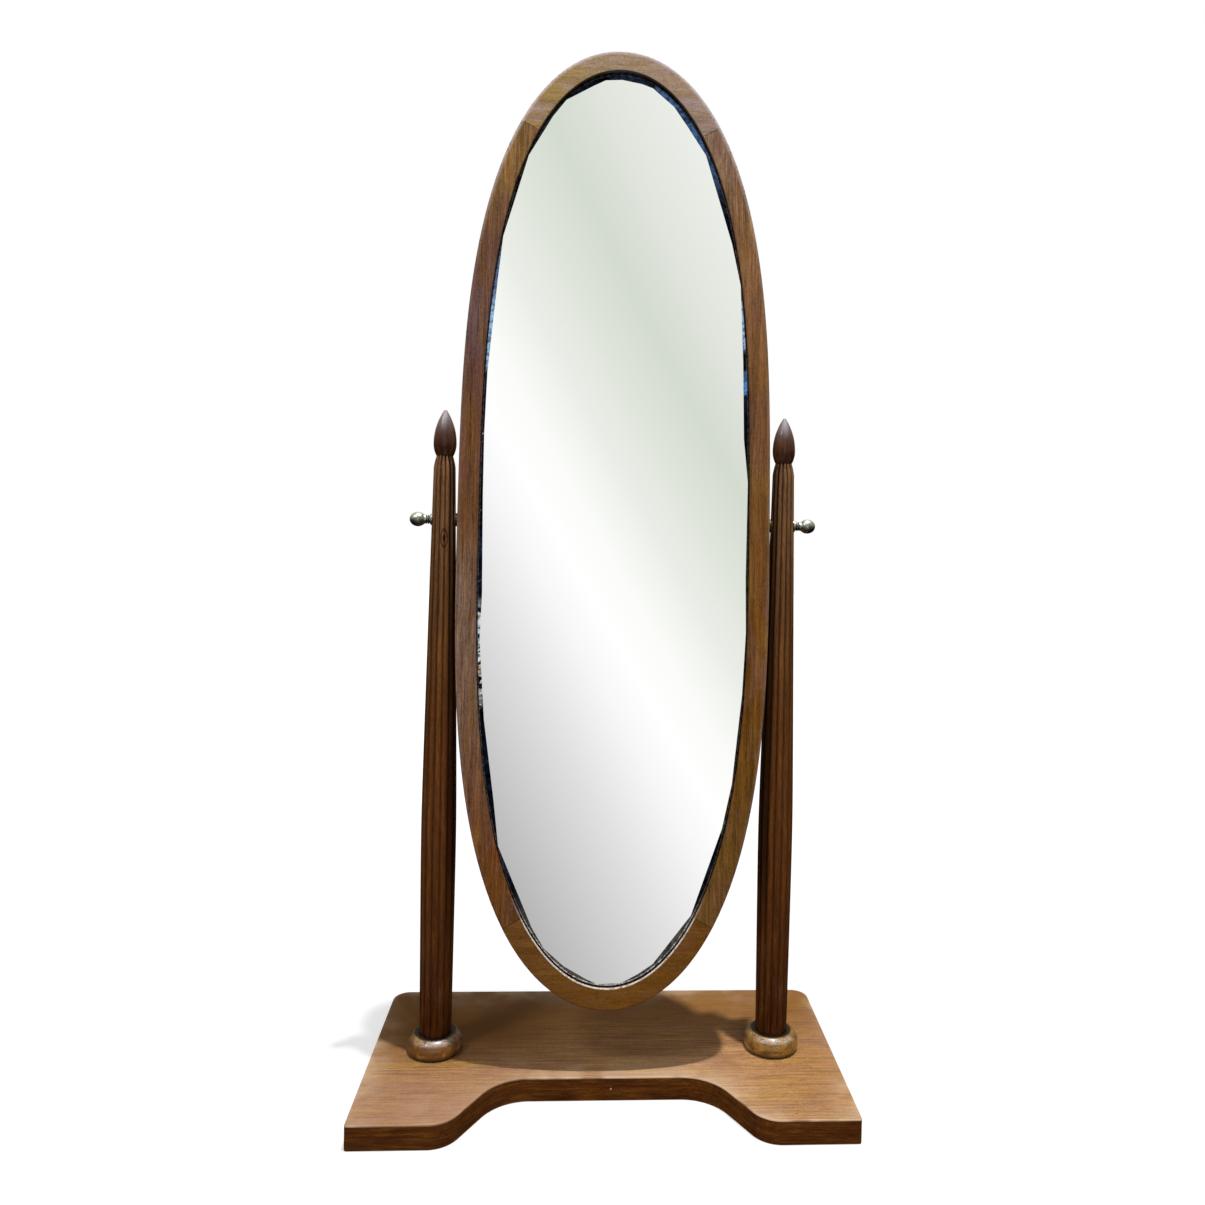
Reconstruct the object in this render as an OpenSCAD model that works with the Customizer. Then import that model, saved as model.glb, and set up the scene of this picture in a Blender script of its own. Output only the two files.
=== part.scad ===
// Cheval mirror: an oval bevelled mirror that turns between two reeded posts on a plank base.
// Millimetres. X to the right, Y to the back, Z up. The origin is the middle of the base's underside.

/* [Base] */
// Width of the base board
base_w = 700; // [660:5:800]
// Depth of the base board
base_d = 370; // [340:5:430]
// Thickness of the base board
base_t = 35; // [32:1:45]
// Radius of the two back corners
base_back_r = 25; // [5:1:60]
// Radius of the two front corners
base_front_r = 4; // [2:1:20]
// How far the recess goes in from the front edge
recess_d = 108; // [90:1:125]
// Half the width of the recess, at the front edge
recess_half_w = 241; // [225:1:260]
// Radius where the front edge turns into the recess
recess_outer_r = 45; // [30:1:60]
// Radius where the recess's side meets its back
recess_inner_r = 75; // [50:1:90]
// Slope of the recess's sides, in degrees from the front edge
recess_slope = 60; // [45:1:70]

/* [Posts] */
// Where the posts stand, behind the middle of the base
post_y = 4; // [-10:1:30]
// Radius of a post where it stands on its collar
foot_r = 23.9; // [20:0.1:25]
// Radius at which a post's lower and upper tapers would meet
belly_r = 26.8; // [24:0.1:28]
// Rounding off where the two tapers meet
belly_round = 1.4; // [0.4:0.1:3]
// Height of that meeting above a post's foot
belly_up = 321; // [250:1:420]
// Radius of a post under its rounded shoulder
neck_r = 16.4; // [15:0.1:19]
// Length of a post above the pivot
post_above_pivot = 96; // [70:1:140]
// Height of the rounded shoulder at the top of a post
shoulder_h = 20; // [10:1:30]
// Radius of the flat top of a post
post_top_r = 13.2; // [11:0.1:15]
// Number of reeds round a post
reeds = 14; // [10:1:18]
// Depth of the grooves between the reeds
reed_depth = 1.5; // [0.8:0.1:2]
// Radius of the tenon under a post
tenon_r = 15; // [12:0.5:18]
// How far the tenon goes into the base
tenon_l = 20; // [16:1:21]

/* [Collars and finials] */
// Height of a collar
collar_h = 29; // [24:1:34]
// Largest radius of a collar
collar_r = 41.5; // [36:0.5:44]
// Height of a collar's largest radius
collar_bulge_h = 10; // [6:1:14]
// Radius of a collar where it rests on the base
collar_base_r = 38; // [34:0.5:40]
// Radius of the flat top of a collar
collar_top_r = 25.2; // [25.2:0.2:28]
// Height of a finial
finial_h = 69; // [55:1:80]
// Largest radius of a finial
finial_r = 17.1; // [15:0.1:19]
// Height of a finial's largest radius
finial_bulge_h = 18; // [12:0.5:22]
// Radius of a finial where it rests on the post
finial_neck_r = 12.6; // [11:0.1:13]
// Radius of a finial's blunt tip
finial_tip_r = 1.4; // [1:0.1:2]
// Radius of the spigot under a finial
spigot_r = 5; // [4:0.5:7]
// Length of the spigot
spigot_l = 20; // [14:1:26]

/* [Oval frame] */
// Width of the oval frame
oval_w = 473; // [450:1:490]
// Height of the oval frame
oval_h = 1454; // [1300:1:1480]
// How round the oval's ends are
end_power = 2.05; // [2:0.05:2.4]
// How straight the oval's sides are
side_power = 3.1; // [2.6:0.05:3.4]
// Width of the frame's face
face_w = 31; // [29:0.5:36]
// Thickness of the frame, front to back
frame_t = 22; // [20:0.5:26]
// Size of the worn corners of the frame
arris = 1.5; // [0.5:0.1:2]
// Width of the lip that holds the glass
lip_w = 8; // [6:0.5:9]
// Thickness of the lip
lip_t = 7; // [5:0.5:8]
// Height of the four joints above and below the oval's middle
joint_z = 610; // [560:5:640]
// How far the mirror leans back as it stands, in degrees
lean = 5; // [0:0.5:8]
// How far the oval's middle is above the pivot
rise = 11; // [0:0.5:12]
// Room between the frame and the base when the mirror stands on its head
turn_room = 68; // [60:0.5:90]
// Radius of the dowels in the joints
dowel_r = 3; // [2.5:0.1:3.2]
// Length of the dowels in the joints
dowel_l = 40; // [30:1:50]
// Distance between the two dowels of a joint
dowel_pitch = 10; // [8:0.5:11]

/* [Glass and backing] */
// Thickness of the glass
glass_t = 5; // [4:0.5:6]
// Width of the glass's bevel
bevel_w = 16; // [14:1:22]
// How much thinner the bevel makes the glass at its edge
bevel_drop = 2; // [1.5:0.1:2.5]
// Play between the edge of the glass and the rebate
glass_play = 0.8; // [0.5:0.1:1]
// Thickness of the backing board
backing_t = 4; // [3:0.5:6]
// How far the backing board's edge is from the frame's outer edge
backing_inset = 12; // [10:0.5:13]
// Length of the blocks that press on the glass
block_l = 30; // [20:1:36]
// Width of the blocks that press on the glass
block_w = 9; // [7:0.5:12]
// Distance between the blocks up each side
block_pitch = 300; // [260:5:320]

/* [Pivot hardware] */
// Radius of the threaded studs
stud_r = 4; // [3:0.5:4.5]
// How far a stud reaches into its insert
stud_in_insert = 17; // [12:0.5:18]
// Outer radius of the inserts
insert_r = 6.5; // [6:0.1:7]
// Length of the inserts
insert_l = 20; // [18:0.5:20.5]
// Radius of an insert's flange
insert_flange_r = 10; // [9:0.5:11]
// Thickness of an insert's flange
insert_flange_t = 1.6; // [1:0.1:2]
// Radius of the friction washers
washer_r = 10; // [8:0.5:11]
// Thickness of the friction washers
washer_t = 2.4; // [1.6:0.1:5.5]
// Outer radius of the bushes through the posts
bush_r = 6; // [5.6:0.1:7]
// Radius of a bush's flange
bush_flange_r = 9.5; // [8.5:0.1:11]
// Thickness of a bush's flange
bush_flange_t = 2; // [1.4:0.1:3]
// Depth of the flats on the post that the bush and the washer lie on
flat_depth = 1.5; // [1.2:0.1:2]

/* [Knobs] */
// Radius of a knob's ball
ball_r = 10.8; // [9:0.1:13]
// Distance from a knob's face to the middle of its ball
ball_out = 21.5; // [20:0.1:26]
// Radius of a knob's neck
knob_neck_r = 5.7; // [5.5:0.1:7]
// Radius of the ring at a knob's face
knob_ring_r = 8.4; // [7.5:0.1:10]
// Thickness of the ring at a knob's face
knob_ring_t = 2.4; // [2:0.1:3]
// How much smaller the ring is at the knob's face
knob_ring_taper = 0.6; // [0.2:0.1:1]
// Radius of the second ring of a knob
knob_bead_r = 7.4; // [6.5:0.1:9]
// Thickness of the second ring of a knob
knob_bead_t = 2; // [1.5:0.1:3]
// Distance from the knob's face to the middle of the second ring
knob_bead_out = 3.8; // [3.4:0.1:5]

/* [Screws] */
// Radius of the coach screws
coach_r = 4; // [3:0.5:5]
// Length of the coach screws under the head
coach_l = 45; // [30:1:50]
// Width of a coach screw's hexagon, across its corners
coach_head_w = 15; // [12:0.5:16]
// Height of a coach screw's head
coach_head_h = 5.4; // [4:0.1:5.6]
// Radius of the plain washers
plain_washer_r = 12; // [10:0.5:13]
// Thickness of the plain washers
plain_washer_t = 1.6; // [1:0.1:2]
// Radius of the counterbores in the base's underside
counterbore_r = 14; // [13.5:0.5:16]
// Depth of the counterbores in the base's underside
counterbore_d = 8; // [7.8:0.1:9]
// Radius of the backing screws
screw_r = 1.75; // [1.5:0.05:2]
// Length of the backing screws
screw_l = 14; // [11:0.5:16]
// Radius of a backing screw's head
screw_head_r = 3.5; // [3:0.1:4]
// Height of a backing screw's countersunk head
screw_head_h = 2.2; // [1.8:0.1:2.6]
// Distance between the backing screws up each side
side_screw_pitch = 320; // [280:5:340]
// Distance between the two backing screws at each end
end_screw_pitch = 140; // [100:5:160]

/* [Fits] */
// Play round a piece that is glued or screwed in its hole
fixed_play = 0.1; // [0.05:0.01:0.15]
// Play round a stud in its insert, bush and knob
running_play = 0.05; // [0.03:0.01:0.08]
// Gap between faces that turn past each other
face_gap = 0.3; // [0.2:0.05:0.4]
// Gap between the glass and what holds it
glass_gap = 0.15; // [0.1:0.05:0.3]
// Play between the blocks and the side of the rebate
block_play = 1.4; // [0.8:0.1:2]
// Play round a flange or a washer in the flat cut for it
spotface_play = 0.5; // [0.3:0.1:0.8]

/* [Hidden] */
$fn = 64;

wood = "#7a5533";
dark_wood = "#4f3520";
worn_wood = "#9a7440";
pewter = "#8d8f88";
brass = "#b08d4c";
leather = "#5b4030";
silvered = "#dfe3df";
ply = "#b79a6e";

// Heights and places that follow from the sizes above
pivot_z = base_t + oval_h / 2 + rise + turn_room;
foot_z = base_t + collar_h;
belly_z = foot_z + belly_up;
post_top_z = pivot_z + post_above_pivot;
shoulder_z = post_top_z - shoulder_h;
flat_x = post_radius(pivot_z) - flat_depth;
hardware_stack = insert_flange_t + washer_t + 2 * face_gap;
post_x = oval_w / 2 + hardware_stack + flat_x;
tenon_z = base_t - tenon_l;
coach_seat_z = counterbore_d - plain_washer_t;
knob_face_x = post_x + flat_x + bush_flange_t + face_gap;
ball_x = knob_face_x + ball_out;
stud_inner_x = oval_w / 2 - stud_in_insert;
lip_back_y = lip_t - frame_t / 2;
rebate_at = face_w - lip_w;
glass_at = rebate_at + glass_play;
bevel_at = glass_at + bevel_w;
glass_front_y = lip_back_y - bevel_drop * (bevel_at - face_w) / bevel_w + glass_gap;
glass_back_y = glass_front_y + glass_t;

// How far cuts run past the faces that they break through
overlap = 1;

// Distances of the dowels from the frame's outer edge, within the part that is full thickness
dowel_at = [(rebate_at - dowel_pitch) / 2, (rebate_at + dowel_pitch) / 2];
// Distance of the backing screws from the frame's outer edge
screw_at = (backing_inset + rebate_at) / 2;
// Four places in a row, as shares of the distance between two of them
four_places = [-1.5, -0.5, 0.5, 1.5];

// Steps that the curved shapes are made in
post_steps = 17;
shoulder_steps = 4;
points_per_reed = 6;
side_steps = 28;
end_steps = 26;
arc_steps = 16;
tip_steps = 4;
fine = 128;

// The oval's outline, as x at a height and as z at a distance from the middle
function oval_x(z) = oval_w / 2 * pow(1 - pow(abs(z) / (oval_h / 2), side_power), 1 / end_power);
function oval_z(x) = oval_h / 2 * pow(1 - pow(abs(x) / (oval_w / 2), end_power), 1 / side_power);
joint_x = oval_x(joint_z);

// Unit normal of the outline at a point on it, outwards
function slope_x(x) = end_power * sign(x) * pow(abs(x) / (oval_w / 2), end_power - 1) / (oval_w / 2);
function slope_z(z) = side_power * sign(z) * pow(abs(z) / (oval_h / 2), side_power - 1) / (oval_h / 2);
function normal(p) = let (n = [slope_x(p[0]), slope_z(p[1])]) n / norm(n);
function inside(p, w) = p - normal(p) * w;

// Points on the outline, in order: up the right side, over the top, down the left side, along the bottom
function right_side() = [for (i = [0:side_steps])
    let (z = joint_z * (2 * i / side_steps - 1)) [oval_x(z), z]];
function top_end() = [for (i = [0:end_steps])
    let (x = joint_x * (1 - 2 * i / end_steps)) [x, oval_z(x)]];
function turned(points) = [for (p = points) [-p[0], -p[1]]];
function without_last(points) = [for (i = [0:len(points) - 2]) points[i]];
function whole_oval() = concat(without_last(right_side()), without_last(top_end()),
                               without_last(turned(right_side())), without_last(turned(top_end())));

// A solid through rings of points, closed by its first and last ring. Seen from the last ring, they run
// anticlockwise.
module loft(rings) {
    m = len(rings[0]);
    last = (len(rings) - 1) * m;
    points = [for (ring = rings) for (p = ring) p];
    sides = [for (i = [0:len(rings) - 2]) for (j = [0:m - 1]) let (a = i * m + j, b = i * m + (j + 1) % m)
             each [[a, b + m, b], [a, a + m, b + m]]];
    first_cap = [for (j = [0:m - 1]) j];
    last_cap = [for (j = [m - 1:-1:0]) last + j];
    polyhedron(points = points, faces = concat(sides, [first_cap, last_cap]), convexity = 6);
}

// Puts a child that is made for the right-hand side on either side
module on_side(side) {
    if (side > 0) children();
    else mirror([1, 0, 0]) children();
}

// Puts a child that is made round the oval's middle where the mirror stands
module in_mirror() {
    translate([0, post_y, pivot_z]) rotate([-lean, 0, 0]) translate([0, 0, rise]) children();
}

// Puts a child that points along X on the pivot's axis
module on_pivot(x) {
    translate([x, post_y, pivot_z]) rotate([0, 90, 0]) children();
}

// Base

module plate_outline() {
    half_w = base_w / 2;
    half_d = base_d / 2;
    translate([-half_w, base_front_r - half_d]) square([base_w, base_d - base_front_r - base_back_r]);
    translate([base_front_r - half_w, -half_d]) square([base_w - 2 * base_front_r, base_front_r + overlap]);
    translate([base_back_r - half_w, half_d - base_back_r - overlap])
        square([base_w - 2 * base_back_r, base_back_r + overlap]);
    for (side = [-1, 1]) {
        translate([side * (half_w - base_front_r), base_front_r - half_d]) circle(r = base_front_r);
        translate([side * (half_w - base_back_r), half_d - base_back_r]) circle(r = base_back_r);
    }
}

module recess_outline() {
    front_y = -base_d / 2;
    rise_share = 1 - cos(recess_slope);
    straight = (recess_d - (recess_outer_r + recess_inner_r) * rise_share) / sin(recess_slope);
    a = [recess_half_w - recess_outer_r * sin(recess_slope), front_y + recess_outer_r * rise_share];
    b = a + straight * [-cos(recess_slope), sin(recess_slope)];
    c = b + recess_inner_r * [-sin(recess_slope), rise_share];
    difference() {
        union() {
            polygon([[-recess_half_w, front_y - overlap], [-recess_half_w, front_y],
                     [-a[0], a[1]], [-b[0], b[1]], [-c[0], c[1]], c, b, a,
                     [recess_half_w, front_y], [recess_half_w, front_y - overlap]]);
            for (side = [-1, 1])
                translate([side * c[0], c[1] - recess_inner_r]) circle(r = recess_inner_r, $fn = fine);
        }
        for (side = [-1, 1])
            translate([side * recess_half_w, front_y + recess_outer_r]) circle(r = recess_outer_r, $fn = fine);
    }
}

module base_board() color(wood) {
    difference() {
        linear_extrude(base_t) difference() {
            plate_outline();
            recess_outline();
        }
        for (side = [-1, 1]) translate([side * post_x, post_y, 0]) {
            translate([0, 0, tenon_z - face_gap]) cylinder(r = tenon_r + fixed_play, h = base_t);
            translate([0, 0, -overlap]) cylinder(r = coach_r + face_gap, h = base_t);
            translate([0, 0, -overlap]) cylinder(r = counterbore_r, h = counterbore_d + overlap);
        }
    }
}

// Posts

// Radius of a post over its reeds, at a height above the floor: two tapers that meet in a rounded belly
function lower_taper(z) = foot_r + (belly_r - foot_r) * (z - foot_z) / belly_up;
function upper_taper(z) = belly_r + (neck_r - belly_r) * (z - belly_z) / (shoulder_z - belly_z);
function rounded_meeting(a, b) = (a + b - norm([a - b, belly_round])) / 2;
function post_radius(z) =
    z <= shoulder_z ? rounded_meeting(lower_taper(z), upper_taper(z))
    : post_top_r + (neck_r - post_top_r) * sqrt(1 - pow((z - shoulder_z) / shoulder_h, 2));
// How far a point is below the tops of the reeds, as a share of the grooves' depth
function reed_dip(i) = let (u = 2 * (i % points_per_reed) / points_per_reed - 1) 1 - sqrt(1 - u * u);
function post_ring(z) = let (n = reeds * points_per_reed) [for (i = [0:n - 1])
    let (r = post_radius(z) - reed_depth * reed_dip(i), turn = 360 * i / n) [r * cos(turn), r * sin(turn), z]];
function post_heights() = concat(
    [for (i = [0:post_steps]) foot_z + (shoulder_z - foot_z) * i / post_steps],
    [for (i = [1:shoulder_steps]) shoulder_z + shoulder_h * sin(90 * i / shoulder_steps)]);

module post() color(dark_wood) {
    difference() {
        union() {
            loft([for (z = post_heights()) post_ring(z)]);
            translate([0, 0, tenon_z]) cylinder(r = tenon_r, h = foot_z - tenon_z + overlap);
        }
        translate([0, 0, post_top_z - spigot_l - face_gap])
            cylinder(r = spigot_r + fixed_play, h = spigot_l + overlap);
        translate([0, 0, tenon_z - overlap])
            cylinder(r = coach_r + fixed_play, h = coach_seat_z + coach_l - tenon_z + 2 * overlap);
        translate([0, 0, pivot_z]) rotate([0, 90, 0]) {
            translate([0, 0, -2 * neck_r]) cylinder(r = bush_r + fixed_play, h = 4 * neck_r);
            translate([0, 0, flat_x]) cylinder(r = bush_flange_r + spotface_play, h = neck_r);
            translate([0, 0, -flat_x - neck_r]) cylinder(r = washer_r + spotface_play, h = neck_r);
        }
    }
}

module collar() color(worn_wood) {
    lower = [for (i = [0:arc_steps / 2]) let (t = -90 + 180 * i / arc_steps)
             [collar_base_r + (collar_r - collar_base_r) * cos(t), collar_bulge_h * (1 + sin(t))]];
    upper = [for (i = [1:arc_steps]) let (t = 90 * i / arc_steps)
             [collar_top_r + (collar_r - collar_top_r) * cos(t),
              collar_bulge_h + (collar_h - collar_bulge_h) * sin(t)]];
    bore_r = tenon_r + fixed_play;
    rotate_extrude() polygon(concat([[bore_r, 0]], lower, upper, [[bore_r, collar_h]]));
}

// A bud of two arcs, the upper one running into the round tip
module finial() color(dark_wood) {
    lower_swell = finial_r - finial_neck_r;
    lower_arc = (pow(finial_bulge_h, 2) + pow(lower_swell, 2)) / (2 * lower_swell);
    lower_turn = asin(finial_bulge_h / lower_arc);
    tip_z = finial_h - finial_tip_r;
    upper_h = tip_z - finial_bulge_h;
    upper_arc = (pow(upper_h, 2) + pow(finial_r, 2) - pow(finial_tip_r, 2)) / (2 * (finial_r - finial_tip_r));
    upper_turn = atan2(upper_h, upper_arc - finial_r);
    lower = [for (i = [0:arc_steps / 2]) let (t = lower_turn * (2 * i / arc_steps - 1))
             [finial_r - lower_arc * (1 - cos(t)), finial_bulge_h + lower_arc * sin(t)]];
    upper = [for (i = [1:arc_steps]) let (t = upper_turn * i / arc_steps)
             [finial_r - upper_arc * (1 - cos(t)), finial_bulge_h + upper_arc * sin(t)]];
    tip = [for (i = [1:tip_steps]) let (t = upper_turn + (90 - upper_turn) * i / tip_steps)
           [i == tip_steps ? 0 : finial_tip_r * cos(t), tip_z + finial_tip_r * sin(t)]];
    translate([0, 0, post_top_z]) {
        rotate_extrude() polygon(concat([[0, 0]], lower, upper, tip));
        translate([0, 0, -spigot_l]) cylinder(r = spigot_r, h = spigot_l + overlap);
    }
}

module pivot_bush() color(pewter) {
    difference() {
        union() {
            on_pivot(post_x - flat_x) cylinder(r = bush_r, h = 2 * flat_x + overlap);
            on_pivot(post_x + flat_x) cylinder(r = bush_flange_r, h = bush_flange_t);
        }
        on_pivot(post_x - 2 * neck_r) cylinder(r = stud_r + running_play, h = 4 * neck_r);
    }
}

module post_screw() {
    translate([post_x, post_y, coach_seat_z]) {
        translate([0, 0, -coach_head_h]) cylinder(d = coach_head_w, h = coach_head_h, $fn = 6);
        translate([0, 0, -overlap]) cylinder(r = coach_r, h = coach_l + overlap);
    }
}

module post_washer() {
    translate([post_x, post_y, coach_seat_z]) difference() {
        cylinder(r = plain_washer_r, h = plain_washer_t);
        translate([0, 0, -overlap]) cylinder(r = coach_r + fixed_play, h = plain_washer_t + 2 * overlap);
    }
}

// Oval frame

module frame_length(outline) {
    y_front = -frame_t / 2;
    y_back = frame_t / 2;
    section = [[arris, y_front], [0, y_front + arris], [0, y_back - arris], [arris, y_back],
               [rebate_at, y_back], [rebate_at, lip_back_y], [face_w, lip_back_y],
               [face_w, y_front + arris], [face_w - arris, y_front]];
    loft([for (p = outline) [for (s = section) let (q = inside(p, s[0])) [q[0], s[1], q[1]]]]);
}

module joint_dowels(sx, sz, r, l) {
    p = [sx * joint_x, sz * joint_z];
    n = normal(p);
    for (w = dowel_at) let (q = inside(p, w))
        translate([q[0], 0, q[1]]) rotate([0, atan2(-n[1], n[0]), 0]) cylinder(r = r, h = l, center = true);
}

module all_joint_dowels(r, l) {
    for (sx = [-1, 1]) for (sz = [-1, 1]) joint_dowels(sx, sz, r, l);
}

// Puts a child that points along Z behind the backing board, at a point of the outline, pointing to the front
module backing_screw_place(p) {
    q = inside(p, screw_at);
    translate([q[0], frame_t / 2 + backing_t, q[1]]) rotate([90, 0, 0]) children();
}

module backing_screw_places() {
    for (sx = [-1, 1]) for (share = four_places) let (z = share * side_screw_pitch)
        backing_screw_place([sx * oval_x(z), z]) children();
    for (sz = [-1, 1]) for (sx = [-1, 1]) let (x = sx * end_screw_pitch / 2)
        backing_screw_place([x, sz * oval_z(x)]) children();
}

module frame_holes() {
    all_joint_dowels(dowel_r + fixed_play, dowel_l + 2 * face_gap);
    backing_screw_places() cylinder(r = screw_r + fixed_play, h = screw_l + overlap);
    for (side = [-1, 1]) on_side(side)
        translate([oval_w / 2 - insert_l - face_gap, 0, -rise]) rotate([0, 90, 0])
            cylinder(r = insert_r + fixed_play, h = insert_l + face_gap + overlap);
}

module frame_piece(outline) color(wood) {
    in_mirror() difference() {
        frame_length(outline);
        frame_holes();
    }
}

module mirror_glass() color(silvered) {
    outline = whole_oval();
    in_mirror() loft([for (s = [[glass_at, glass_back_y], [glass_at, glass_front_y + bevel_drop],
                                [bevel_at, glass_front_y]])
                      [for (p = outline) let (q = inside(p, s[0])) [q[0], s[1], q[1]]]]);
}

module glazing_block(p) {
    n = normal(p);
    q = inside(p, rebate_at + block_play + block_w / 2);
    y = glass_back_y + glass_gap;
    translate([q[0], y, q[1]]) rotate([0, atan2(-n[1], n[0]), 0])
        translate([-block_w / 2, 0, -block_l / 2]) cube([block_w, frame_t / 2 - y, block_l]);
}

module glazing_blocks() color(ply) in_mirror() {
    for (sx = [-1, 1]) for (share = four_places) let (z = share * block_pitch)
        glazing_block([sx * oval_x(z), z]);
    for (sz = [-1, 1]) glazing_block([0, sz * oval_h / 2]);
}

module backing_board() color(ply) in_mirror() {
    edge = [for (p = whole_oval()) inside(p, backing_inset)];
    difference() {
        translate([0, frame_t / 2 + backing_t, 0]) rotate([90, 0, 0]) linear_extrude(backing_t) polygon(edge);
        backing_screw_places() {
            translate([0, 0, -overlap]) cylinder(r = screw_r + fixed_play, h = backing_t + 2 * overlap);
            cylinder(r1 = screw_head_r + fixed_play, r2 = screw_r + fixed_play, h = screw_head_h);
        }
    }
}

module backing_screws() color(brass) in_mirror() backing_screw_places() {
    cylinder(r1 = screw_head_r, r2 = screw_r, h = screw_head_h);
    cylinder(r = screw_r, h = screw_l);
}

// Pivot hardware

module pivot_insert() color(brass) {
    difference() {
        union() {
            on_pivot(oval_w / 2 - insert_l) cylinder(r = insert_r, h = insert_l + overlap);
            on_pivot(oval_w / 2) cylinder(r = insert_flange_r, h = insert_flange_t);
        }
        on_pivot(oval_w / 2 - insert_l - overlap)
            cylinder(r = stud_r + running_play, h = insert_l + insert_flange_t + 2 * overlap);
    }
}

module friction_washer() color(leather) {
    on_pivot(oval_w / 2 + insert_flange_t + face_gap) difference() {
        cylinder(r = washer_r, h = washer_t);
        translate([0, 0, -overlap]) cylinder(r = stud_r + running_play, h = washer_t + 2 * overlap);
    }
}

module stud() color(pewter) {
    on_pivot(stud_inner_x) cylinder(r = stud_r, h = ball_x - stud_inner_x);
}

module knob() color(pewter) {
    half_ring = knob_ring_t / 2;
    half_bead = knob_bead_t / 2;
    bead_x = knob_face_x + knob_bead_out;
    difference() {
        union() {
            on_pivot(knob_face_x) cylinder(r1 = knob_ring_r - knob_ring_taper, r2 = knob_ring_r, h = half_ring);
            on_pivot(knob_face_x + half_ring) cylinder(r1 = knob_ring_r, r2 = knob_neck_r, h = half_ring);
            on_pivot(bead_x) rotate_extrude() translate([knob_bead_r - half_bead, 0]) circle(r = half_bead);
            on_pivot(bead_x - half_bead) cylinder(r = knob_bead_r - half_bead, h = knob_bead_t);
            on_pivot(knob_face_x) cylinder(r = knob_neck_r, h = ball_out);
            translate([ball_x, post_y, pivot_z]) sphere(r = ball_r);
        }
        on_pivot(knob_face_x - overlap) cylinder(r = stud_r + running_play, h = ball_out + overlap + face_gap);
    }
}

base_board();
on_side(-1) translate([post_x, post_y, 0]) post();  // left_post
on_side(1) translate([post_x, post_y, 0]) post();  // right_post
translate([-post_x, post_y, base_t]) collar();  // left_collar
translate([post_x, post_y, base_t]) collar();  // right_collar
translate([-post_x, post_y, 0]) finial();  // left_finial
translate([post_x, post_y, 0]) finial();  // right_finial
color(pewter) for (side = [-1, 1]) on_side(side) post_screw();  // post_screws
color(pewter) for (side = [-1, 1]) on_side(side) post_washer();  // post_washers
on_side(-1) pivot_bush();  // left_pivot_bush
on_side(1) pivot_bush();  // right_pivot_bush
frame_piece(top_end());  // frame_top
frame_piece(turned(top_end()));  // frame_bottom
frame_piece(turned(right_side()));  // frame_left
frame_piece(right_side());  // frame_right
color(wood) in_mirror() all_joint_dowels(dowel_r, dowel_l);  // frame_dowels
mirror_glass();
glazing_blocks();
backing_board();
backing_screws();
on_side(-1) pivot_insert();  // left_pivot_insert
on_side(1) pivot_insert();  // right_pivot_insert
on_side(-1) friction_washer();  // left_friction_washer
on_side(1) friction_washer();  // right_friction_washer
on_side(-1) stud();  // left_stud
on_side(1) stud();  // right_stud
on_side(-1) knob();  // left_knob
on_side(1) knob();  // right_knob
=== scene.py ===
"""Looks of a cheval mirror: an oval bevelled glass in a narrow frame, hung between two reeded
posts on a plank base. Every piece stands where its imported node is."""
import logging
import math
from dataclasses import dataclass
from enum import Enum
from typing import Callable, Sequence

import bmesh
import bpy
from mathutils import Matrix, Vector


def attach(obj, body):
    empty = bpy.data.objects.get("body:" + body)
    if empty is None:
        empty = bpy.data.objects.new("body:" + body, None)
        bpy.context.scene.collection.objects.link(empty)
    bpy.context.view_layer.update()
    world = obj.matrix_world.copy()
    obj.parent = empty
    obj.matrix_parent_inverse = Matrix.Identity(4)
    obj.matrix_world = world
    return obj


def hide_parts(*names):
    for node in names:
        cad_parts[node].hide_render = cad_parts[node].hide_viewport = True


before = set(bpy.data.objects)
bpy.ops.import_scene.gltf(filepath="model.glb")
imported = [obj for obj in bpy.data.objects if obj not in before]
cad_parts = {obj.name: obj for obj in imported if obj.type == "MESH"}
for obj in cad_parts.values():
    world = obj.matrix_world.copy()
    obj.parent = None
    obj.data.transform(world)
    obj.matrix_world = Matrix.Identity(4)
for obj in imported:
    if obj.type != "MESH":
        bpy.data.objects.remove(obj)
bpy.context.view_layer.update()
LOG = logging.getLogger("cheval_mirror")
MM = 0.001
WHITE = (1.0, 1.0, 1.0, 1.0)
Point = tuple[float, float, float]
Stops = Sequence[tuple[float, str]]
Material = bpy.types.Material
Object = bpy.types.Object
Mesh = bmesh.types.BMesh
Vert = bmesh.types.BMVert
Edge = bmesh.types.BMEdge
Face = bmesh.types.BMFace
Layer = bmesh.types.BMLayerItem

# Places that several pieces share, in millimetres

POST_Y = 4.0
PIVOT_Z = 841.0
BASE_TOP = 35.0

# How close points are merged, edges dropped and heights taken as the same, in millimetres, and
# how far up or down the normal of a level face points

MERGE = 0.0005
DROP = 0.0002
NEAR = 0.01
LEVEL = 0.001
FLAT = 0.99


class Side(Enum):
    """Which side of the mirror a piece is on, seen from the front."""

    LEFT = -1
    RIGHT = 1

    @property
    def word(self) -> str:
        """The side's name, which its pieces' names begin with."""
        return self.name.lower()


def linear(code: str) -> tuple[float, float, float, float]:
    """Scene-linear colour, with alpha, of a display colour written as six hex digits.

    Args:
        code: the colour as "rrggbb".

    Returns:
        Red, green, blue and an alpha of 1.
    """
    parts = [int(code[i:i + 2], 16) / 255 for i in (0, 2, 4)]
    red, green, blue = (c / 12.92 if c <= 0.04045 else ((c + 0.055) / 1.055) ** 2.4 for c in parts)
    return red, green, blue, 1.0


# Shader helpers


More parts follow.
